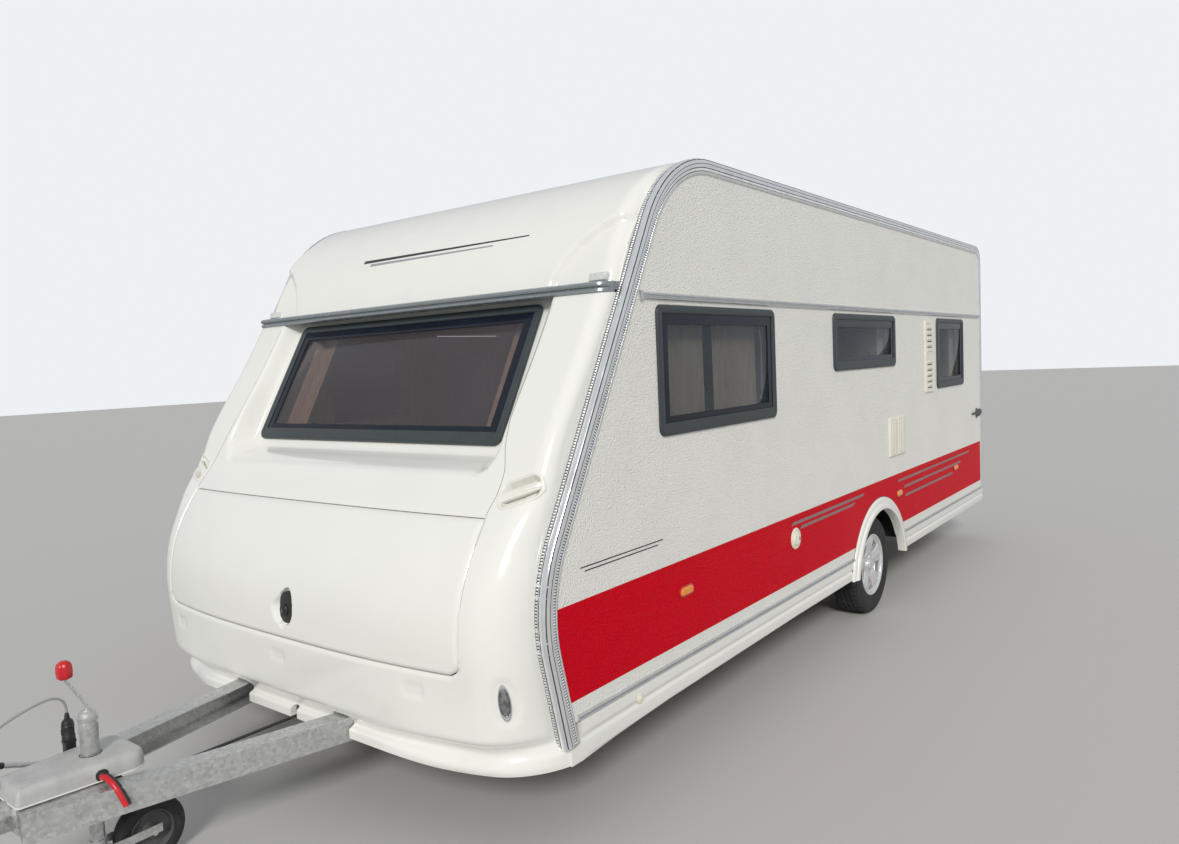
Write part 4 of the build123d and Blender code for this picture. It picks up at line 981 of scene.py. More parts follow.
cups, grips = Shape(), Shape()
for side in (-1, 1):
    def cup_point(along, across):
        inside = -handle_distance(along, across)
        lift = 0.0008 + 0.0032 * smooth(inside / 0.002) - 0.034 * smooth((inside - 0.0055) / 0.016)
        return in_hold(along, across, side, lift, 0.0045)

    cups.add(*carve(cup_point, span(-0.094, 0.081, 0.0025), span(-0.05, 0.05, 0.0025),
                    lambda a, b: handle_distance(a, b) - 0.001, lambda p: (p.x, p.y + 0.02, p.z)))
    grips.add(*rings([[in_hold(along, across, side, lift, 0.006) for across, lift in GRIP_PROFILE]
                      for along in span(-0.087, 0.074, 0.007)]))
cups.make("hand_hold_cups", "cup", sharp=50)
for side in (-1, 1):
    grip = rear_face(side * 1.09, 1.12)
    grips.add(*tube([grip.point(0, b, h) for b, h in REAR_GRIP], 0.0105, 16))
    for b in (-0.115, 0.115):
        grips.add(*grip.moved(0, b).plate(0.036, 0.04, 0.016, [(0, 0), (0, 0.004), (0.004, 0.008)]))
grips.make("hand_hold_bars", "cup", replaces="grab_handles", sharp=30)

# Joint line from the lid's corner up beside the window's recess
SEAM = [
    (1.008, 1.226), (1.013, 1.29), (1.004, 1.38), (0.975, 1.47), (0.958, 1.56), (0.955, 1.7),
    (0.955, 2.04),
]
seam = Shape()
for side in (-1, 1):
    loops = []
    for (x0, z0), (x1, z1) in zip(SEAM, SEAM[1:]):
        for t in span(0, 1, 0.1)[:-1]:
            x, z = x0 + (x1 - x0) * t, z0 + (z1 - z0) * t
            loops.append([on_nose(side * (x + dx), z, 0.0003) for dx in (-0.0011, 0.0011)])
    seam.add(*rings(loops, closed=False))
seam.make("front_seams", "shadow_line")


# Lid
LOCK_X = 0.04
LOCK_Z = 0.8
WELL_DEPTH = 0.022
LID_THICK = 0.026
LID_EDGE = 0.008


def lock_distance(x, z):
    """Signed distance to the drop-shaped well of the lock, pointed at its top."""
    dz = z - 0.806
    rise = smooth(dz / 0.09) if dz > 0 else 0.0
    middle = 0.032 + 0.03 * rise
    taper = 1.0 - 0.35 * rise
    size = math.hypot((x - middle) / (0.077 * taper), dz / (0.092 if dz > 0 else 0.076))
    return (size - 1) * 0.05


def lid_point(x, z):
    y = raised_y(x, z)
    edge = -lid_distance(x, z)
    if edge < LID_EDGE:
        y += rounded_edge(LID_EDGE, LID_EDGE - max(edge, 0.0))
    y += WELL_DEPTH * smooth(-lock_distance(x, z) / (0.03 if x < 0.02 else 0.008))
    return (x, at(y), z)


lid_half = span(0.0, 0.116, 0.004)[1:] + span(0.116, LID_X, 0.0112)[1:]
lid_columns = [-x for x in reversed(lid_half)] + [0.0] + lid_half
lid_rows = span(LID_Z0, 0.735, 0.009) + span(0.735, 0.905, 0.0045)[1:] + span(0.905, LID_Z1, 0.009)[1:]
lid = Shape()
lid.add(*carve(lid_point, lid_columns, lid_rows, lid_distance, lambda p: (p.x, p.y + LID_THICK, p.z)))
lid.add(*carve(lambda x, z: (x, at(raised_y(x, z) + LID_THICK), z), span(-LID_X, LID_X, 0.05),
               span(LID_Z0, LID_Z1, 0.04), lid_distance))
lid.make("locker_lid_skin", "gel", body="locker_lid", replaces="locker_lid", sharp=50)
well_y = at(raised_y(0.0, LOCK_Z)) + WELL_DEPTH
lock = Shape()
lock.add(*lathe((LOCK_X, well_y, LOCK_Z), (0, -1, 0), [
    (0.004, 0.026), (0.016, 0.026), (0.019, 0.023), (0.02, 0.018), (0.02, 0.015), (0.023, 0.014),
    (0.0235, 0.012), (0.0235, 0.0)], 40))
# Black plate round the lock barrel, wide enough to cover the well's shaded side: partly the lock's real
# plate, partly painted shade
lock.add(*Face((0.054, well_y, LOCK_Z + 0.012), (1, 0, 0), (0.14, 0, 1)).plate(
    0.1, 0.136, 0.044, [(0, -0.006), (0.001, 0.009), (0.008, 0.012)]))
lock.make("lid_lock_and_well_shade", "black", body="locker_lid", sharp=30)
make("lid_key_slit", *block((LOCK_X - 0.0012, well_y - 0.0243, LOCK_Z - 0.008),
                            (LOCK_X + 0.0012, well_y - 0.0225, LOCK_Z + 0.008)), "chrome", body="locker_lid")

# Locker liner behind the lid
LINER_FLOOR = 0.66
liner = Shape()
liner.add(*block((-1.14, at(-5.995), 0.655), (1.14, at(-5.962), 1.235)))
liner.add(*rings([[Vector((x, at(y), z)) for y, z in (
    (front, LINER_FLOOR), (front, 0.672), (-5.99, 0.672), (-5.99, LINER_FLOOR))]
    for x, front in ((x, raised_y(x, LINER_FLOOR) + 0.022) for x in span(-1.11, 1.11, 0.05))]))
for side in (-1, 1):
    x0, x1 = sorted((side * 1.1, side * 1.112))
    liner.add(*block((x0, at(-6.29), LINER_FLOOR), (x1, at(-5.99), 1.06)))
    liner.add(*block((x0, at(-6.2), 1.06), (x1, at(-5.99), 1.16)))
liner.make("locker_liner", "white")


# Cap above the rain rail; printed lines stand a little proud of the paint
PAINT = 0.0007
CAP_CENTRE = (-4.905, 1.855)
CAP_R = 0.79
CAP_ANGLE = math.radians(74.3)
CAP_ROUND = 0.07
CAP_SIDE = SIDE_X - CAP_ROUND
CREASE_Z = [2.05, 2.105, 2.18, 2.255, 2.32, 2.37, 2.44]
CREASE_X = [0.885, 0.89, 0.925, 0.985, 1.07, 1.17, 1.3]


def cheek(x, z):
    """1 on the lower cheeks outside the crease, 0 on the crown."""
    edge = float(np.interp(z, CREASE_Z, CREASE_X))
    return smooth((abs(x) - edge) / 0.034) * smooth((2.44 - z) / 0.12)


def on_cap(x, radius, angle):
    """Place at a distance from the cap's axis; the angle is 0 straight above it."""
    return x, at(CAP_CENTRE[0] - radius * math.sin(angle)), CAP_CENTRE[1] + radius * math.cos(angle)


def cap_point(x, angle):
    drop = 0.028 * cheek(x, CAP_CENTRE[1] + CAP_R * math.cos(angle))
    over = abs(x) - CAP_SIDE
    if over > 0:
        drop += rounded_edge(CAP_ROUND, over)
    first, second = CAP_R - drop, outline_radius(angle)
    return on_cap(x, (first + second + math.sqrt((first - second) ** 2 + 0.006 ** 2)) / 2, angle)


def outline_radius(angle):
    """Distance from the cap's centre to the side outline."""
    direction = Vector((-math.sin(angle), math.cos(angle)))
    centre = Vector(CAP_CENTRE)
    best = min(EDGE_PATH, key=lambda item: -(item[0] - centre).normalized().dot(direction))
    return (best[0] - centre).length


cap_half = span(0.0, 0.8, 0.05)[1:] + span(0.8, CAP_SIDE, 0.008)[1:] + [
    CAP_SIDE + CAP_ROUND * math.sin(math.pi / 2 * i / 12) for i in range(1, 13)]
cap_columns = [-x for x in reversed(cap_half)] + [0.0] + cap_half
cap_angles = span(0.0, CAP_ANGLE, math.radians(0.7))
cap = Shape()
cap.add(*carve(cap_point, cap_columns, cap_angles))
for side in (-1, 1):
    x = side * SIDE_X
    cap.add(*rings([[Vector(cap_point(x, angle)), Vector(on_cap(x, outline_radius(angle) - 0.012, angle))]
                    for angle in cap_angles], closed=False))
cap.make("front_cap_skin", "gel", replaces="front_cap", sharp=50)


def cap_strip(x0, x1, z0, z1, taper, mat, name):
    """Printed line across the cap, thinning towards its end."""
    loops = []
    for x in span(x0, x1, 0.02):
        half = (z1 - z0) * (1 - taper * (x - x0) / (x1 - x0)) / 2
        loops.append([Vector(on_cap(x, CAP_R + PAINT, math.acos((z - CAP_CENTRE[1]) / CAP_R)))
                      for z in ((z0 + z1) / 2 - half, (z0 + z1) / 2 + half)])
    make(name, *rings(loops, closed=False), mat)


cap_strip(-0.44, 0.695, 2.318, 2.334, 0.65, "stripe_black", "cap_line_dark")
cap_strip(-0.375, 0.49, 2.298, 2.311, 0.5, "stripe_silver", "cap_line_light")

# Rain rail
RAIN_PROFILE = [
    (0.06, 2.034), (0.0, 2.034), (-0.012, 2.0345), (-0.017, 2.039), (-0.015, 2.048), (-0.006, 2.05),
    (-0.006, 2.0545), (-0.016, 2.0575), (-0.02, 2.064), (-0.017, 2.073), (-0.004, 2.078), (0.06, 2.078),
]
make("rain_rail_strip", *rings([[Vector((x, at(raised_y(x, 2.046) + dy), z)) for dy, z in RAIN_PROFILE]
                                for x in nose_columns()]), "rain", replaces="rain_rail", sharp=30)


def wall_strip(profile, y0, y1, step, side=1):
    """Length of a moulding along the side wall; profile is (height, out)."""
    return rings([[Vector((side * (HALF + out), at(y), z)) for z, out in profile]
                  for y in span(y0, y1, step)])


# Awning rails
RAIL_PROFILE = [
    (2.008, 0.0), (2.0085, 0.006), (2.011, 0.0095), (2.015, 0.0105), (2.0185, 0.008), (2.02, 0.005),
    (2.0225, 0.005), (2.0245, 0.009), (2.029, 0.013), (2.034, 0.0125), (2.0372, 0.0085), (2.038, 0.0),
]
awning = Shape()
awning.add(*wall_strip(RAIL_PROFILE, -5.52, -0.06, 0.3))
awning.add(*side_face(-5.523, 2.023).plate(0.014, 0.04, 0.006, [(0, 0), (0, 0.014), (0.002, 0.016)]))
awning.mirror()
awning.make("awning_rail_strips", "rail", replaces="awning_rails", sharp=30)

# Windows: side, first y, last y and foot
WINDOWS = [
    (1, -5.416, -4.308, 1.439), (1, -3.516, -2.408, 1.647), (1, -1.41, -0.633, 1.439),
    (-1, -5.416, -4.5, 1.439), (-1, -3.3, -2.408, 1.647), (-1, -1.41, -0.633, 1.439),
]
WINDOW_HEAD = 1.99
STAY_X = 1.226
FRAME_PROFILE = [
    (0.0, -0.001), (0.0005, 0.006), (0.003, 0.01), (0.008, 0.0125), (0.014, 0.013), (0.03, 0.013),
    (0.034, 0.0115), (0.0365, 0.0085), (0.0375, 0.005), (0.038, 0.0005), (0.038, -0.004),
]
BORDER_PROFILE = [(0.034, 0.003), (0.039, 0.0042), (0.046, 0.0046), (0.082, 0.0046), (0.0825, 0.001)]
PANE_PROFILE = [(0.05, -0.0055), (0.05, -0.0005), (0.052, 0.0005)]
frames, borders, panes, shaded_panes, front_pane, stays = [Shape() for _ in range(6)]


def window(face, width, height, radius, glass):
    """Frame, printed dark border and pane; the frame is deeper along its foot."""
    frames.add(*face.ring(width, height, radius, FRAME_PROFILE))
    frames.add(*face.moved(0, 0.038 - height / 2, 0.0085).plate(
        width - 0.06, 0.034, 0.01, [(0, 0), (0, 0.003), (0.003, 0.0048)]))
    glass.add(*face.plate(width, height, radius, PANE_PROFILE))
    borders.add(*face.ring(width, height, radius, BORDER_PROFILE))


for side, y0, y1, z0 in WINDOWS:
    window(side_face((y0 + y1) / 2, (z0 + WINDOW_HEAD) / 2, side), y1 - y0, WINDOW_HEAD - z0, 0.038,
           panes if side > 0 else shaded_panes)
    for y, lean in ((y0 + 0.1, 0.018), (y1 - 0.1, -0.018)):
        rod = ((lean, WINDOW_HEAD - 0.1), (0, WINDOW_HEAD - 0.16), (0, z0 + 0.14), (lean, z0 + 0.1))
        stays.add(*tube([(side * STAY_X, at(y + dy), z) for dy, z in rod], 0.0042, 10))
window(rear_face(0, 1.7145), 1.28, 0.551, 0.045, shaded_panes)
window(front_window.moved(0, 0, 0.006), *WINDOW_SIZE, 0.04, front_pane)
frames.make("window_frame_rings", "slate", replaces="window_frames", sharp=30)
# Far-side and rear panes take the darker, nearly opaque copy of the pane: painted shade for the unlit cabin
for shape, name, mat in ((panes, "window_pane_sheets", "pane"), (shaded_panes, "far_pane_sheets", "pane_deep"),
                         (front_pane, "front_pane_sheet", "pane_front")):
    shape.make(name, mat, replaces="window_panes", sharp=50)
borders.make("window_borders", "border", sharp=50)
stays.make("window_stays", "chrome")

# Catches along the foot of the front window
catches = Shape()
for x in (-0.7, -0.55, 0.02, 0.42, 0.66):
    catches.add(*front_window.moved(x, -0.245, -0.012).plate(
        0.055, 0.026, 0.006, [(0, 0), (0, 0.004), (0.003, 0.006)]))
catches.make("window_catches", "grey")


# Curtains
def curtain(name, origin, across, width, height, pleats, mat, drawn=0.0):
    """Pleated cloth hung from origin along a level direction; drawn is how far its foot is held forward."""
    across = Vector(across).normalized()
    out = across.cross(Vector((0, 0, 1))).normalized()
    nu, nv = pleats * 12, 24
    loops = []
    for i in range(nu + 1):
        s = i / nu
        loops.append([])
        for j in range(nv + 1):
            t = j / nv
            phase = 2 * math.pi * (pleats * s + 0.06 * math.sin(5 * s + 2 * t))
            depth = 0.0085 * (0.7 + 0.3 * math.sin(9 * s + 1.3)) * (0.65 + 0.35 * t)
            p = Vector(origin) + across * (width * s + 0.003 * math.sin(phase * 2))
            p += out * depth * math.sin(phase)
            p.z -= height * t
            p.y -= drawn * t
            loops[-1].append(p)
    obj = make(name, *rings(loops, closed=False), mat, replaces="curtains", sharp=80)


# Side, first y, last y and foot of the window behind which it hangs
CURTAINS = [
    (1, -5.37, -4.915, 1.439), (1, -4.835, -4.385, 1.439), (1, -3.496, -3.356, 1.647),
    (1, -2.568, -2.428, 1.647), (1, -1.39, -1.3, 1.439), (1, -0.8, -0.653, 1.439),
    (-1, -5.396, -5.256, 1.439), (-1, -4.66, -4.52, 1.439), (-1, -3.28, -3.14, 1.647),
    (-1, -2.568, -2.428, 1.647), (-1, -1.39, -1.25, 1.439), (-1, -0.793, -0.653, 1.439),
]
CURTAIN_TOP = 2.008
CURTAIN_X = 1.181
for index, (side, y0, y1, z0) in enumerate(CURTAINS):
    curtain(f"curtain_side_{index}", (side * CURTAIN_X, at(y0), CURTAIN_TOP), (0, 1, 0), y1 - y0,
            CURTAIN_TOP - z0 + 0.02, max(3, int((y1 - y0) / 0.032)), "curtain")
for side in (-1, 1):
    curtain(f"curtain_front_{side + 1}", (side * 0.725 - 0.085, at(-5.545), CURTAIN_TOP), (1, 0, 0),
            0.17, 0.56, 5, "curtain_brown", 0.3)
    curtain(f"curtain_rear_{side + 1}", (side * 0.545 - 0.075, at(-0.075), CURTAIN_TOP), (1, 0, 0),
            0.15, 0.58, 5, "curtain")

# Red band, stripes and printed lines on the side walls
ARCH = (-2.765, 0.246)
ARCH_FOOT_Z = 0.334
BAND_Z = (0.535, 0.893)
BAND_Y = (-6.23, -0.065)
DOORWAY = (-4.356, -3.724)


def inside_arch(y, z, radius):
    """How far a place lies within a circle round the wheel arch's centre."""
    return radius - math.hypot(y - ARCH[0], z - ARCH[1])


def band_keep(y, z):
    return max(inside_arch(y, z, 0.538), trim_edge(z) + 0.06 - y, BAND_Z[0] - z, z - BAND_Z[1])


def door_band_keep(y, z):
    return max(band_keep(y, z), -box_distance(y, z, *DOORWAY, 0.3, 1.991, 0.004))


band = Shape()
for side, keep in ((1, band_keep), (-1, door_band_keep)):
    band.add(*carve(lambda y, z: (side * (HALF + PAINT), at(y), z), span(*BAND_Y, 0.02), span(*BAND_Z, 0.02),
                    keep))
band.make("red_band", "band", slot="wall_white")


def stripe(shape, side, y0, y1, z, width, out=0.0014):
    """Line along the wall with slanted ends."""
    lean, half = width * 1.2, width / 2
    corners = [(y0, z - half), (y1 - lean, z - half), (y1, z + half), (y0 + lean, z + half)]
    shape.add([(side * (HALF + out), at(y), z) for y, z in corners], [(0, 1, 2, 3)])


# First y, last y, height and width; those in front of the wheel are on the left side only
STRIPES = [
    (-4.158, -3.053, 0.847, 0.017), (-4.047, -3.218, 0.813, 0.017),
    (-2.397, -0.462, 0.842, 0.016), (-2.263, -0.73, 0.784, 0.018), (-2.238, -0.992, 0.72, 0.018),
]
stripes = Shape()
for side in (-1, 1):
    for row in STRIPES:
        if side > 0 or row[0] > ARCH[0]:
            stripe(stripes, side, *row)
stripes.make("band_stripes", "stripe_grey")
pins = Shape()
for drop in (0.0, 0.016):
    stripe(pins, 1, -5.985 + 1.6 * drop, -5.42 - 2.4 * drop, 1.012 - drop, 0.0048, 0.0008)
pins.make("wall_pinstripes", "stripe_black")

# Rails, skirts and arches low on the sides
LOWER_PROFILE = [
    (0.457, 0.0), (0.4572, 0.0075), (0.459, 0.0105), (0.4625, 0.0118), (0.4655, 0.0105), (0.4668, 0.006),
    (0.469, 0.006), (0.4702, 0.01), (0.4735, 0.0118), (0.477, 0.01), (0.4788, 0.005), (0.479, 0.0),
]
LOWER_RAILS = [
    (1, -6.037, -3.256), (1, -2.274, -0.07), (-1, -6.037, -4.358), (-1, -3.722, -3.256), (-1, -2.274, -0.07),
]
lower = Shape()
for side, y0, y1 in LOWER_RAILS:
    lower.add(*wall_strip(LOWER_PROFILE, y0, y1, 0.4, side))
lower.make("lower_rail_strips", "rail", replaces="lower_rails", sharp=30)

SKIRT_FOOT = [(-6.08, 0.3005), (-6.02, 0.3005), (-5.4, 0.32), (-4.1, 0.334), (0.0, 0.338)]
SKIRT_PROFILE = [
    (0.0, -0.012), (0.03, -0.003), (0.08, 0.0025), (0.3, 0.0038), (0.46, 0.0034), (0.5, -0.002),
    (0.56, -0.0034), (0.62, 0.0006), (0.68, 0.0036), (0.93, 0.0036), (1.0, 0.001),
]
ARCH_PROFILE = [
    (0.4575, -0.03), (0.4572, 0.018), (0.459, 0.0235), (0.464, 0.0256), (0.488, 0.024), (0.494, 0.0205),
    (0.4965, 0.015), (0.5, 0.0135), (0.52, 0.0145), (0.53, 0.012), (0.536, 0.006), (0.5372, -0.001),
]
ARCH_SEAM = [(0.5368, -0.001), (0.5372, 0.0022), (0.5404, 0.0022), (0.541, -0.001)]


def skirt_z(y, t):
    """Height of a share of the skirt's width above its foot."""
    low = blend_table(SKIRT_FOOT, y)
    return low + (0.4535 - low) * t


def arch_strip(profile, side):
    """Moulding round the wheel arch; profile is (radius, out)."""
    loops = []
    for t in span(0, 1, 1 / 72):
        loop = []
        for r, out in profile:
            start = math.asin((ARCH_FOOT_Z - ARCH[1]) / r)
            a = start + t * (math.pi - 2 * start)
            y, z = ARCH[0] + r * math.cos(a), ARCH[1] + r * math.sin(a)
            loop.append(Vector((side * (HALF + out), at(y), z)))
        loops.append(loop)
    return rings(loops)


skirts, arches, arch_seams, plugs = [Shape() for _ in range(4)]
for side in (1, -1):
    def skirt_point(y, t):
        out = HALF + blend_table(SKIRT_PROFILE, t) * smooth((y + 6.078) / 0.14) - 0.0004
        wider = max(blend_table(LIP_WIDE, skirt_z(y, t)) - 0.0006 - out, 0.0)
        return side * (out + wider * (1 - smooth((y + 6.05) / 0.42))), at(y), skirt_z(y, t)

    def skirt_keep(y, t):
        z = skirt_z(y, t)
        under_trim = -box_distance(y, z, -6.2, -6.019, 0.364, 0.6, 0.002)
        doorway = -box_distance(y, z, *DOORWAY, 0.394, 0.6, 0.002) if side < 0 else -1.0
        return max(inside_arch(y, z, 0.536), under_trim, doorway)

    skirts.add(*carve(skirt_point, span(-6.078, 0.0, 0.03), span(0.0, 1.0, 0.04), skirt_keep,
                      lambda p: (p.x - side * 0.024, p.y, p.z)))
    arches.add(*arch_strip(ARCH_PROFILE, side))
    arch_seams.add(*arch_strip(ARCH_SEAM, side))
    plugs.add(*lathe((side * (HALF + 0.001), at(-5.635), 0.405), (side, 0, 0), [
        (0.0, 0.022), (0.004, 0.022), (0.006, 0.019), (0.006, 0.013), (0.009, 0.011), (0.0095, 0.0)], 28))
skirts.make("skirt_panels", "gel", replaces="side_skirts", sharp=40)
arches.make("arch_mouldings", "gel", replaces="wheel_arches", sharp=40)
arch_seams.make("arch_seams", "shadow_line", sharp=40)
plugs.make("skirt_plugs", "ivory", sharp=30)

# Water filler, tall vent and twin vent on the side wall
SLATS = [0.225 - 0.044 * k for k in range(11) if k != 5]
SLAT_GAPS = [0.205 - 0.044 * k for k in range(11) if k not in (4, 5)]
filler = side_face(-4.11, 0.765)
tall = side_face((-1.717 - 1.509) / 2, (1.42 + 1.966) / 2)
low = side_face((-2.565 - 2.235) / 2, (1.026 + 1.293) / 2)
fit, slots = Shape(), Shape()
fit.add(*lathe(filler.origin, (1, 0, 0), [
    (-0.002, 0.058), (0.004, 0.058), (0.008, 0.054), (0.009, 0.047), (0.007, 0.044), (0.007, 0.04),
    (0.013, 0.038), (0.016, 0.034), (0.0165, 0.0)], 48))
fit.add(*filler.moved(0, 0, 0.016).plate(0.014, 0.06, 0.006, [(0, -0.002), (0, 0.004), (0.003, 0.006)]))
fit.add(*tall.plate(0.208, 0.546, 0.016, [
    (0, 0), (0.002, 0.008), (0.008, 0.011), (0.016, 0.012), (0.02, 0.0095), (0.024, 0.009)]))
for b in SLATS:
    fit.add(*tall.moved(0, b, 0.009).plate(0.13, 0.022, 0.004, [(0, -0.002), (0.001, 0.003), (0.006, 0.006)]))
for offset, width in ((-0.088, 0.146), (0.082, 0.158)):
    flap = low.moved(offset, 0)
    fit.add(*flap.plate(width, 0.267, 0.01, [(0, 0), (0.001, 0.009), (0.008, 0.014), (0.012, 0.014)]))
    for k in range(2):
        fit.add(*flap.moved(-width / 6 + k * width / 3, 0, 0.013).plate(
            width / 5, 0.235, 0.006, [(0, -0.001), (0.002, 0.003), (0.006, 0.004)]))
fit.make("side_vents_and_filler", "ivory", replaces="side_fittings", sharp=30)
# Black strips between the slats and the flaps, and a black slot on the filler cap: painted shade where the
# openings are
for b in SLAT_GAPS:
    slots.add(*tall.moved(0, b, 0.0095).plate(0.11, 0.008, 0.003, [(0, -0.001), (0.0005, 0.0008)]))
slots.add(*low.moved(-0.006, 0, 0.001).plate(0.016, 0.262, 0.003, [(0, 0), (0.0005, 0.003)]))
slots.add(*filler.moved(0.018, -0.002, 0.0165).plate(0.014, 0.02, 0.003, [(0, -0.002), (0.001, 0.002)]))
slots.make("vent_slot_shade", "black")

# Bracket at the rear of the left side: place along it, length and width of each plate
BRACKET_PLATES = [(-0.13, 0.15, 0.018), (0.08, 0.06, 0.04), (-0.06, 0.02, 0.09)]
spot = side_face(-0.14, 1.16)
bracket = Shape()
bracket.add(*spot.plate(0.15, 0.066, 0.02, [(0, 0), (0.001, 0.01), (0.006, 0.014)]))
for along, length, width in BRACKET_PLATES:
    bracket.add(*spot.moved(along, 0).plate(length, width, 0.008, [(0, 0), (0.001, 0.008), (0.004, 0.012)]))
bracket.make("rear_side_bracket", "dull_steel")

# Lamps
make("awning_lamp", *side_face(-4.04, 2.092, -1).plate(
    0.34, 0.052, 0.022, [(0, 0), (0.001, 0.018), (0.008, 0.028), (0.018, 0.03)]), "lens_clear")
markers, bases, clears, ovals, glass, reds = [Shape() for _ in range(6)]
for side in (-1, 1):
    for y in (-5.253, -2.37, -0.9):
        face = side_face(y, 0.755, side)
        bases.add(*face.plate(0.116, 0.05, 0.025, [(0, 0), (0.001, 0.004), (0.003, 0.005)]))
        markers.add(*face.plate(0.1, 0.036, 0.018, [
            (0, 0.003), (0.001, 0.009), (0.005, 0.0125), (0.012, 0.0135)]))
markers.make("side_marker_lenses", "orange", replaces="marker_lamps", sharp=30)
bases.make("side_marker_bases", "lens_red")
for side in (-1, 1):
    angle = math.acos((2.108 - CAP_CENTRE[1]) / CAP_R)
    face = Face(on_cap(side * 1.13, CAP_R - 0.028, angle), (1, 0, 0), (0, math.cos(angle), math.sin(angle)))
    clears.add(*face.plate(0.092, 0.04, 0.01, [(0, -0.004), (0.001, 0.006), (0.004, 0.013), (0.01, 0.015)]))
clears.make("front_marker_lenses", "lens_clear", sharp=30)


# Oval lamps: share of the full oval, and height
BEZEL_PROFILE = [(1.0, -0.006), (1.0, 0.009), (0.96, 0.013), (0.86, 0.0145), (0.76, 0.011), (0.74, 0.006)]
LENS_PROFILE = [(0.78, 0.003), (0.76, 0.008), (0.62, 0.0125), (0.4, 0.0155), (0.02, 0.0165)]


def nose_face(x, z, lift):
    """Face lying on the front moulding at a place."""
    e = 0.01
    du = Vector((x + e, raised_y(x + e, z), z)) - Vector((x - e, raised_y(x - e, z), z))
    dv = Vector((x, raised_y(x, z + e), z + e)) - Vector((x, raised_y(x, z - e), z - e))
    return Face((x, at(raised_y(x, z)), z), du, dv).moved(0, 0, lift)


def oval(face, scale, h):
    """Upright oval on a face."""
    turns = [2 * math.pi * i / 40 for i in range(40)]
    return [face.point(0.0235 * scale * math.cos(a), 0.07 * scale * math.sin(a), h) for a in turns]


for side in (-1, 1):
    face = nose_face(side * LAMP[0], LAMP[1], -0.012)
    ovals.add(*rings([oval(face, *spot) for spot in BEZEL_PROFILE], caps=False))
    glass.add(*rings([oval(face, *spot) for spot in LENS_PROFILE]))
    reds.add(*rear_face(side * 1.08, 0.75).plate(
        0.17, 0.3, 0.03, [(0, 0), (0.001, 0.02), (0.008, 0.03), (0.02, 0.032)]))
ovals.make("front_lamp_bezels", "chrome", sharp=30)
# Lenses in the darkened chrome: painted dark reflection
glass.make("front_lamp_lenses", "lamp_dark", sharp=30)
reds.make("tail_lamp_lenses", "lens_red", replaces="tail_lamps", sharp=30)

# Wheels
AXLE_Y = at(-2.765)
TYRE_R = 0.325
TYRE_MIDDLE = 1.1075
SPOKES = 5
SPOKE_TURN = 2 * math.pi / SPOKES
BOLT_RING = 0.056
TYRE_WALL = [
    (-0.079, 0.2015), (-0.084, 0.206), (-0.0872, 0.217), (-0.09, 0.236), (-0.0925, 0.258),
    (-0.0915, 0.28), (-0.087, 0.3), (-0.083, 0.31),
]
TYRE_CROWN = [
    (-0.078, 0.3165), (-0.07, 0.3215), (-0.06, 0.324), (-0.0345, 0.325), (-0.034, 0.318), (-0.028, 0.318),
    (-0.0275, 0.3252), (-0.0035, 0.3254), (-0.003, 0.318),
]
TREAD_STEPS = 216
DISH_R = [0.0, 0.03, 0.034, 0.06, 0.075, 0.115, 0.15, 0.178, 0.186, 0.193, 0.198]
DISH_X = [1.178, 1.178, 1.17, 1.167, 1.17, 1.176, 1.182, 1.184, 1.18, 1.192, 1.192]
RIM_PROFILE = [
    (1.192, 0.198), (1.1935, 0.2015), (1.1915, 0.2045), (1.184, 0.202), (1.176, 0.19), (1.15, 0.18),
    (1.06, 0.17), (1.045, 0.186), (1.035, 0.1925), (1.033, 0.189), (1.04, 0.18), (1.06, 0.165),
    (1.15, 0.174), (1.172, 0.188),
]
DRUM_PROFILE = [
    (0.985, 0.03), (0.985, 0.12), (0.992, 0.125), (1.09, 0.125), (1.098, 0.118), (1.098, 0.07),
    (1.112, 0.06), (1.112, 0.0),
]
HUB_CAP_PROFILE = [(1.16, 0.033), (1.18, 0.033), (1.184, 0.03), (1.185, 0.02), (1.1855, 0.0)]
BOLT_PROFILE = [(1.15, 0.0085), (1.166, 0.0085), (1.168, 0.006), (1.168, 0.0)]


def mirrored(profile):
    """A profile from one side to the middle, and on to the other side."""
    return profile + [(-x, r) for x, r in reversed(profile)]


def tread_radius(x, r, step):
    """Radius of the tyre with its cuts, at one of the steps round it."""
    if abs(x) > 0.034 and r > 0.312 and (step + (2 if x > 0 else 0)) % 4 == 0:
        return r - 0.006
    if 0.0274 > abs(x) > 0.003 and r > 0.32 and (step + 1) % 6 == 0:
        return r - 0.004
    return r


def tyre(side):
    """Tyre with cuts across its shoulders and middle ribs."""
    loops = []
    for x, r in mirrored(TYRE_WALL + TYRE_CROWN):
        loop = []
        for i in range(TREAD_STEPS):
            radius = tread_radius(x, r, i)
            angle = 2 * math.pi * i / TREAD_STEPS
            loop.append(Vector((side * TYRE_MIDDLE + x, AXLE_Y + radius * math.cos(angle),
                                TYRE_R + radius * math.sin(angle))))
        loops.append(loop)
    return rings(loops, caps=False)


def wheel_window(r, angle):
    """Signed distance to the nearest opening between the spokes, negative inside."""
    a = (angle - math.pi / 2 - SPOKE_TURN / 2) % SPOKE_TURN
    a = min(a, SPOKE_TURN - a)
    across = r * math.sin(a)
    along = r * math.cos(a)
    low, high, corner = 0.094, 0.172, 0.014
    half = 0.018 + 0.03 * (along - low) / (high - low)
    qx, qy = across - half + corner, abs(along - (low + high) / 2) - (high - low) / 2 + corner
    return math.hypot(max(qx, 0), max(qy, 0)) + min(max(qx, qy), 0) - corner


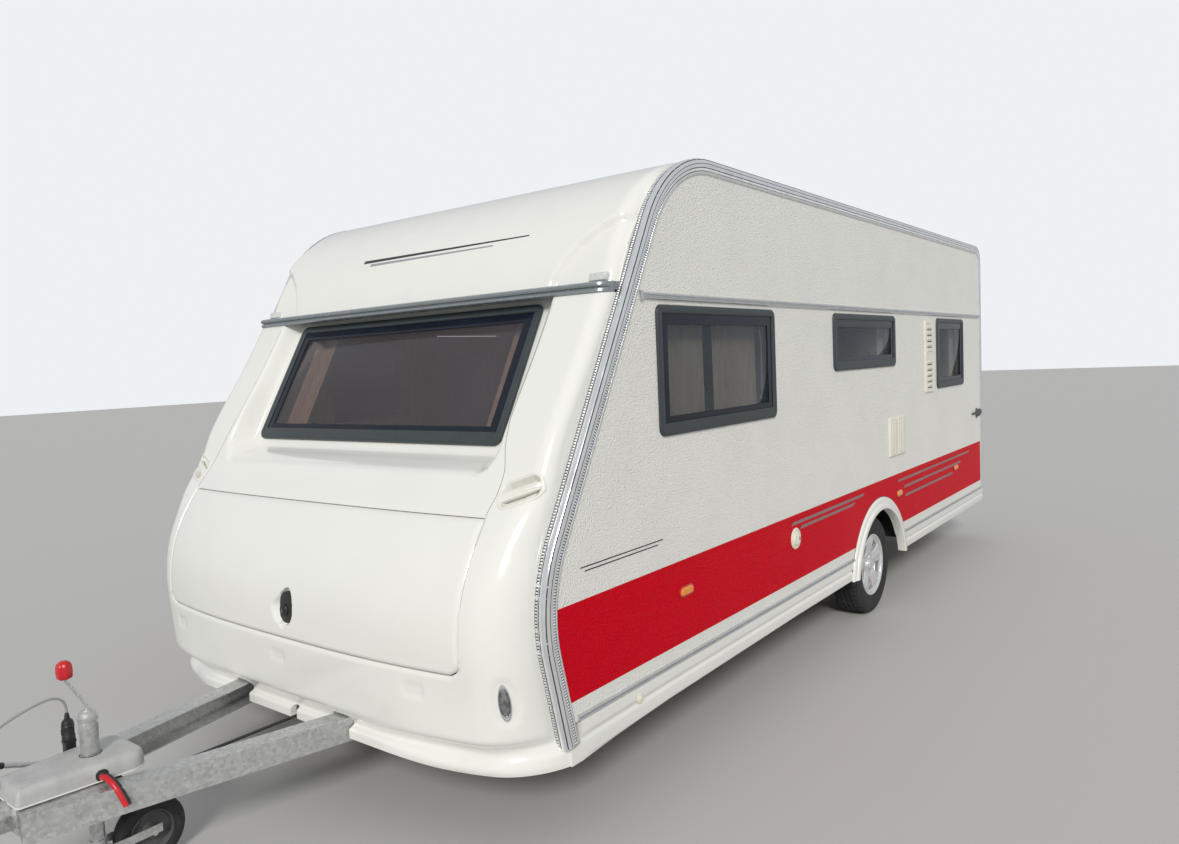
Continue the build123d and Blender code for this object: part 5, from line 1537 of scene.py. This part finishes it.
def wheel_face(side):
    """Dished face of the rim, open between its spokes and sunk round its bolts."""
    def point(angle, r):
        a = (angle - math.pi / 2) % SPOKE_TURN
        a = min(a, SPOKE_TURN - a)
        dish = float(np.interp(r, DISH_R, DISH_X))
        if 0.072 < r < 0.186:
            ridge = smooth(1 - r * math.sin(a) / 0.03) * smooth((r - 0.06) / 0.03) * smooth((0.18 - r) / 0.02)
            dish += 0.006 * ridge - 0.01 * (1 - smooth(wheel_window(r, angle) / 0.01))
        for k in range(SPOKES):
            bolt = math.pi / 2 + SPOKE_TURN * k
            if math.hypot(r * math.cos(angle) - BOLT_RING * math.cos(bolt),
                          r * math.sin(angle) - BOLT_RING * math.sin(bolt)) < 0.012:
                dish -= 0.01
        return (side * dish, AXLE_Y + r * math.cos(angle), TYRE_R + r * math.sin(angle))

    angles = [2 * math.pi * i / 200 for i in range(200)]
    return carve(point, angles, span(0.002, 0.198, 0.0037), lambda angle, r: -wheel_window(r, angle),
                 lambda p: (p.x - side * 0.022, p.y, p.z), wrap=True)


for side, name in ((1, "left"), (-1, "right")):
    body = f"wheel_{name}"
    centre, axis = (0, AXLE_Y, TYRE_R), (side, 0, 0)
    make(f"tyre_{name}_tread", *tyre(side), "tyre", body=body, replaces=f"tyre_{name}", sharp=30)
    rim, hub_cap = Shape(), Shape()
    rim.add(*wheel_face(side))
    rim.add(*lathe(centre, axis, RIM_PROFILE, 96, caps=False))
    rim.make(f"rim_{name}_face", "alloy", body=body, replaces=f"rim_{name}", sharp=35)
    make(f"drum_{name}", *lathe(centre, axis, DRUM_PROFILE, 64), "dark_steel", body=body, sharp=30)
    hub_cap.add(*lathe(centre, axis, HUB_CAP_PROFILE, 40))
    for k in range(SPOKES):
        a = math.pi / 2 + SPOKE_TURN * k
        spot = (0, AXLE_Y + BOLT_RING * math.cos(a), TYRE_R + BOLT_RING * math.sin(a))
        hub_cap.add(*lathe(spot, axis, BOLT_PROFILE, 6))
    hub_cap.make(f"hub_cap_{name}", "alloy", body=body, sharp=30)

# Jockey wheel: mast with its crank, knob, tyre and hub
JOCKEY_Y = at(-7.19)
UP = (0, 0, 1)
CRANK_THROW = 0.06
MAST_PROFILE = [
    (0.24, 0.025), (0.24, 0.03), (0.56, 0.03), (0.562, 0.0312), (0.596, 0.0312), (0.598, 0.029),
    (0.602, 0.029), (0.604, 0.032), (0.616, 0.032), (0.619, 0.029), (0.63, 0.027), (0.634, 0.019),
    (0.64, 0.015), (0.641, 0.0),
]
CRANK_LINE = [
    (0, 0.632), (0, 0.654), (0.003, 0.662), (0.008, 0.67), (0.052, 0.75), (0.057, 0.758),
    (CRANK_THROW, 0.77), (CRANK_THROW, 0.8),
]
KNOB_PROFILE = [
    (0.766, 0.01), (0.768, 0.0185), (0.773, 0.0225), (0.79, 0.0245), (0.812, 0.0235), (0.822, 0.0195),
    (0.829, 0.011), (0.83, 0.0004),
]
mast = Shape()
mast.add(*lathe((0, JOCKEY_Y, 0), UP, MAST_PROFILE, 40))
mast.add(*tube([(0, JOCKEY_Y - forward, z) for forward, z in CRANK_LINE], 0.0058, 14))
mast.make("jockey_mast", "zinc", replaces="jockey_tube", sharp=32)
knob_loops = []
for z, r in KNOB_PROFILE:
    lobes = [(r * (1 + 0.07 * math.cos(6 * a)), a) for a in (2 * math.pi * i / 48 for i in range(48))]
    knob_loops.append([Vector((lobe * math.cos(a), JOCKEY_Y - CRANK_THROW + lobe * math.sin(a), z))
                       for lobe, a in lobes])
make("jockey_knob", *rings(knob_loops), "red", sharp=50)
WHEEL = (0, at(-7.015), 0.125)
SMALL_TYRE = [
    (-0.025, 0.078), (-0.0285, 0.084), (-0.03, 0.1), (-0.0285, 0.112), (-0.024, 0.1195),
    (-0.015, 0.124), (-0.004, 0.1249), (-0.003, 0.1228),
]
SMALL_HUB = [
    (0.0, 0.08), (0.024, 0.08), (0.0262, 0.077), (0.024, 0.072), (0.012, 0.066), (0.011, 0.036),
    (0.016, 0.028), (0.029, 0.024), (0.0298, 0.02), (0.0298, 0.0088),
]
make("jockey_tyre", *lathe(WHEEL, (1, 0, 0), mirrored(SMALL_TYRE), 72, caps=False), "tyre",
     body="jockey_wheel", replaces="jockey_wheel", sharp=40)
hub = Shape()
for way in (1, -1):
    hub.add(*lathe(WHEEL, (way, 0, 0), SMALL_HUB, 48, caps=False))
    for k in range(5):
        a = 2 * math.pi * k / 5 + 0.3
        spoke = Face(Vector(WHEEL) + Vector((way * 0.011, 0.051 * math.cos(a), 0.051 * math.sin(a))),
                     (0, -way * math.sin(a), way * math.cos(a)), (0, math.cos(a), math.sin(a)))
        hub.add(*spoke.plate(0.012, 0.034, 0.004, [(0, -0.001), (0.001, 0.006), (0.003, 0.007)]))
hub.make("jockey_hub", "hub_grey", body="jockey_wheel", sharp=30)

# Clamp handle: spindle, and a red grip with a black copy of it set a little to the rear, painted shade on the
# grip's shadow side
HANDLE_Y = at(-7.206)
HANDLE_Z = 0.44
GRIP_LINE = [
    (0.128, 0.0, 0.44), (0.156, 0.001, 0.444), (0.19, 0.008, 0.43), (0.206, 0.015, 0.408),
    (0.231, 0.028, 0.356),
]
spindle = Shape()
spindle.add(*bar((0.046, HANDLE_Y, HANDLE_Z), (0.128, HANDLE_Y, HANDLE_Z), 0.0085))
spindle.add(*lathe((0.118, HANDLE_Y, HANDLE_Z), (1, 0, 0), [
    (0, 0.013), (0.008, 0.013), (0.01, 0.011), (0.01, 0.0)], 24))
spindle.make("clamp_spindle", "dull_steel", replaces="clamp_handle", sharp=30)
for name, mat, shift, radius in (("clamp_grip_red", "red", -0.0036, 0.01),
                                 ("clamp_grip_dark", "black", 0.0048, 0.0094)):
    make(name, *tube([(x, HANDLE_Y + y + shift, z) for x, y, z in GRIP_LINE], radius, 18), mat, sharp=50)

# Drawbar cover: x, y and radius of its corners
COVER = [(-0.14, -7.05, 0.062), (-0.094, -7.452, 0.016), (0.094, -7.452, 0.016), (0.14, -7.05, 0.062)]
COVER_PROFILE = [
    (0.0, 0.422), (0.001, 0.452), (0.003, 0.464), (0.0065, 0.4725), (0.012, 0.4785), (0.02, 0.4812),
    (0.04, 0.482),
]
COVER_LIP = [(0.004, 0.4215), (-0.0012, 0.4222), (-0.002, 0.4245), (-0.0012, 0.4268), (0.004, 0.4275)]


def cover_ring(inset, z):
    """The cover's plan with rounded corners, moved inwards."""
    points = []
    count = len(COVER)
    for i, (x, y, radius) in enumerate(COVER):
        here = Vector((x, y))
        back = (Vector(COVER[i - 1][:2]) - here).normalized()
        ahead = (Vector(COVER[(i + 1) % count][:2]) - here).normalized()
        half = back.angle(ahead) / 2
        radius_in = max(radius - inset, 0.004)
        centre = here + (back + ahead).normalized() * (max(radius, inset) / math.sin(half))
        first = here + back * radius / math.tan(half) - centre
        last = here + ahead * radius / math.tan(half) - centre
        a0, a1 = math.atan2(first.y, first.x), math.atan2(last.y, last.x)
        turn = (a1 - a0 + math.pi) % (2 * math.pi) - math.pi
        for k in range(11):
            a = a0 + turn * k / 10
            x, y = centre.x + radius_in * math.cos(a), centre.y + radius_in * math.sin(a)
            points.append(Vector((x, at(y), z)))
    return points


make("cover_shell", *rings([cover_ring(*spot) for spot in COVER_PROFILE]), "cover", replaces="drawbar_cover",
     sharp=50)
make("cover_lip", *rings([cover_ring(*spot) for spot in COVER_LIP]), "white", sharp=50)
# Black ring round the jockey tube and black plate at the clamp slot: painted shade standing for the openings
# in the cover
opening_shade = Shape()
opening_shade.add(*lathe((0, JOCKEY_Y, 0), UP, [
    (0.479, 0.03), (0.4832, 0.033), (0.4828, 0.0352), (0.48, 0.036)], 40, caps=False))
slope = math.atan2(0.04, 0.35)
opening_shade.add(*Face((0.1215, HANDLE_Y, 0.443), (math.sin(slope), math.cos(slope), 0), UP).plate(
    0.04, 0.038, 0.017, [(0, -0.003), (0, 0.0012), (0.001, 0.0016)]))
opening_shade.make("cover_opening_shade", "black", sharp=40)

# Plug, its dock and the cable's gland
PLUG = (-0.15, at(-7.2), 0.0)
PLUG_PROFILE = [
    (0.5, 0.019), (0.502, 0.0215), (0.516, 0.0215), (0.519, 0.02), (0.545, 0.02), (0.547, 0.0212),
    (0.551, 0.0212), (0.553, 0.02), (0.562, 0.0198), (0.57, 0.017), (0.575, 0.011), (0.577, 0.0085),
    (0.581, 0.009), (0.583, 0.0078), (0.587, 0.0084), (0.589, 0.007), (0.593, 0.0076), (0.595, 0.0062),
    (0.6, 0.005),
]
GLAND_PROFILE = [
    (0.0, 0.009), (0.01, 0.009), (0.011, 0.0078), (0.014, 0.0084), (0.015, 0.007), (0.018, 0.0076),
    (0.019, 0.0063), (0.022, 0.0069), (0.023, 0.0057), (0.026, 0.0062), (0.027, 0.0052), (0.032, 0.0049),
]
plug = Shape()
plug.add(*lathe(PLUG, UP, PLUG_PROFILE, 36))
for a in (0.4, 2.5, 4.6):
    rib = Face((PLUG[0] + 0.0195 * math.cos(a), PLUG[1] + 0.0195 * math.sin(a), 0.532),
               (-math.sin(a), math.cos(a), 0), UP)
    plug.add(*rib.plate(0.008, 0.024, 0.003, [(0, -0.002), (0.0005, 0.002), (0.002, 0.003)]))
plug.make("plug_body", "black", replaces="plug", sharp=30)
dock = Shape()
dock.add(*Face((*PLUG[:2], 0.422), (1, 0, 0), (0, 1, 0)).plate(0.044, 0.044, 0.01, [
    (0, 0), (0, 0.004), (0.004, 0.008), (0.0045, 0.066), (0.002, 0.069), (0.002, 0.077), (0.006, 0.078)]))
dock.add(*Face((-0.107, at(-7.4325), 0.422), (1, 0, 0), (0, 1, 0)).plate(
    0.024, 0.025, 0.004, [(0, 0), (0, 0.025), (0.002, 0.028)]))
dock.add(*lathe((-0.107, at(-7.43), 0.44), (0, -1, 0), GLAND_PROFILE, 24))
dock.make("plug_dock_and_relief", "black", replaces="plug_holder", sharp=30)

# Grips of the coupling lever and the handbrake lever
levers = Shape()
levers.add(*bar((0, at(-7.61), 0.5055), (0, at(-7.53), 0.52), 0.0125, round_end=0.004))
lever_low, lever_high = Vector((-0.15, at(-7.27), 0.44)), Vector((-0.15, at(-7.5), 0.52))
levers.add(*bar(lever_low.lerp(lever_high, 0.58), lever_high, 0.0112, round_end=0.004))
levers.make("lever_grips", "black", sharp=50)

# Door side
DOOR_Y = -4.04
make("door_window_ring", *Face((-1.256, at(DOOR_Y), 1.6645), (0, -1, 0), UP).ring(0.5, 0.495, 0.06, [
    (0.0, 0.0), (0.001, 0.005), (0.006, 0.008), (0.03, 0.008), (0.036, 0.006), (0.042, 0.001),
    (0.046, -0.004)]), "slate", body="entrance_door", sharp=30)
make("door_frame_strip", *side_face(DOOR_Y, 1.195, -1).ring(0.68, 1.638, 0.06, [
    (0.0, 0.0), (0.001, 0.003), (0.004, 0.0045), (0.013, 0.0045), (0.016, 0.003), (0.017, 0.0)]),
    "rail", sharp=30)
latch_face = Face((-1.2555, at(-3.805), 1.19), (0, -1, 0), UP)
latch = Shape()
latch.add(*latch_face.plate(0.074, 0.124, 0.014, [(0, 0), (0.001, 0.01), (0.006, 0.0195), (0.01, 0.0208)]))
latch.add(*latch_face.moved(0, 0.012, 0.02).plate(0.05, 0.056, 0.01, [
    (0, 0), (0.001, 0.0015), (0.004, 0.002)]))
latch.make("door_latch_case", "black", body="entrance_door", sharp=30)

# CAD pieces that stay: material, width of the softened edges in millimetres, and their names
STAYING = [
    ("wall", 0, "wall_left wall_right rear_panel"), ("wall", 1.5, "entrance_door"), ("roof", 0, "roof"),
    ("gel", 3.0, "rear_skirt"), ("board", 0, "floor"), ("black", 0, "wheel_boxes"),
    # The door pane takes the darker copy of the pane: painted shade
    ("pane_deep", 0, "door_pane"), ("white", 0, "curtain_rails"), ("white", 4.0, "roof_fittings"),
    ("zinc", 0, "jockey_leg"), ("zinc", 1.2, "steady_brackets jockey_fork"), ("zinc", 1.5, "handbrake_lever"),
    ("zinc", 2.0, "cross_members steady_front_left steady_front_right steady_rear_left steady_rear_right"),
    ("zinc", 2.5, "chassis_beam_left chassis_beam_right axle_beam overrun_housing"),
    ("zinc", 3.0, "coupling_head"), ("dark_steel", 0, "brake_rod"), ("dark_steel", 3.0, "trailing_arms"),
    ("dull_steel", 2.5, "jockey_clamp"),
]
for mat, width, names in STAYING:
    for name in names.split():
        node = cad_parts[name]
        node.data.materials.clear()
        node.data.materials.append(MATS[mat])
        if width:
            soft = node.modifiers.new("soft_edges", "BEVEL")
            soft.width = width / 1000
            soft.segments = 2
            soft.limit_method = "ANGLE"
            soft.angle_limit = math.radians(35)


# Floor, light
def add_stage():
    mat = bpy.data.materials.new("studio_floor")
    mat.use_nodes = True
    shader = mat.node_tree.nodes["Principled BSDF"]
    shader.inputs["Base Color"].default_value = (0.52, 0.515, 0.5, 1)
    shader.inputs["Roughness"].default_value = 0.9
    size = 60.0
    corners = [(-size, -size, 0), (size, -size, 0), (size, size, 0), (-size, size, 0)]
    mesh = bpy.data.meshes.new("studio_floor")
    mesh.from_pydata(corners, [], [(0, 1, 2, 3)])
    floor = bpy.data.objects.new("studio_floor", mesh)
    bpy.context.scene.collection.objects.link(floor)
    mesh.materials.append(mat)
    floor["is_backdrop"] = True
    world = bpy.data.worlds.new("studio")
    bpy.context.scene.world = world
    world.use_nodes = True
    tree = world.node_tree
    light = tree.nodes["Background"]
    light.inputs["Color"].default_value = (0.93, 0.96, 1.0, 1)
    light.inputs["Strength"].default_value = 0.56
    seen = tree.nodes.new("ShaderNodeBackground")
    seen.inputs["Color"].default_value = (0.86, 0.88, 0.9, 1)
    path = tree.nodes.new("ShaderNodeLightPath")
    mix = tree.nodes.new("ShaderNodeMixShader")
    tree.links.new(path.outputs["Is Camera Ray"], mix.inputs[0])
    tree.links.new(light.outputs[0], mix.inputs[1])
    tree.links.new(seen.outputs[0], mix.inputs[2])
    tree.links.new(mix.outputs[0], tree.nodes["World Output"].inputs["Surface"])
    sun = bpy.data.lights.new("sun", "SUN")
    sun.energy = 2.1
    sun.angle = math.radians(14)
    sun.color = (1.0, 0.97, 0.92)
    obj = bpy.data.objects.new("sun", sun)
    obj.rotation_euler = Vector((-0.52, 0.74, -0.52)).to_track_quat("-Z", "Y").to_euler()
    bpy.context.scene.collection.objects.link(obj)
    bpy.context.scene.view_settings.view_transform = "Standard"


add_stage()
bpy.context.view_layer.update()
low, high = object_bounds()
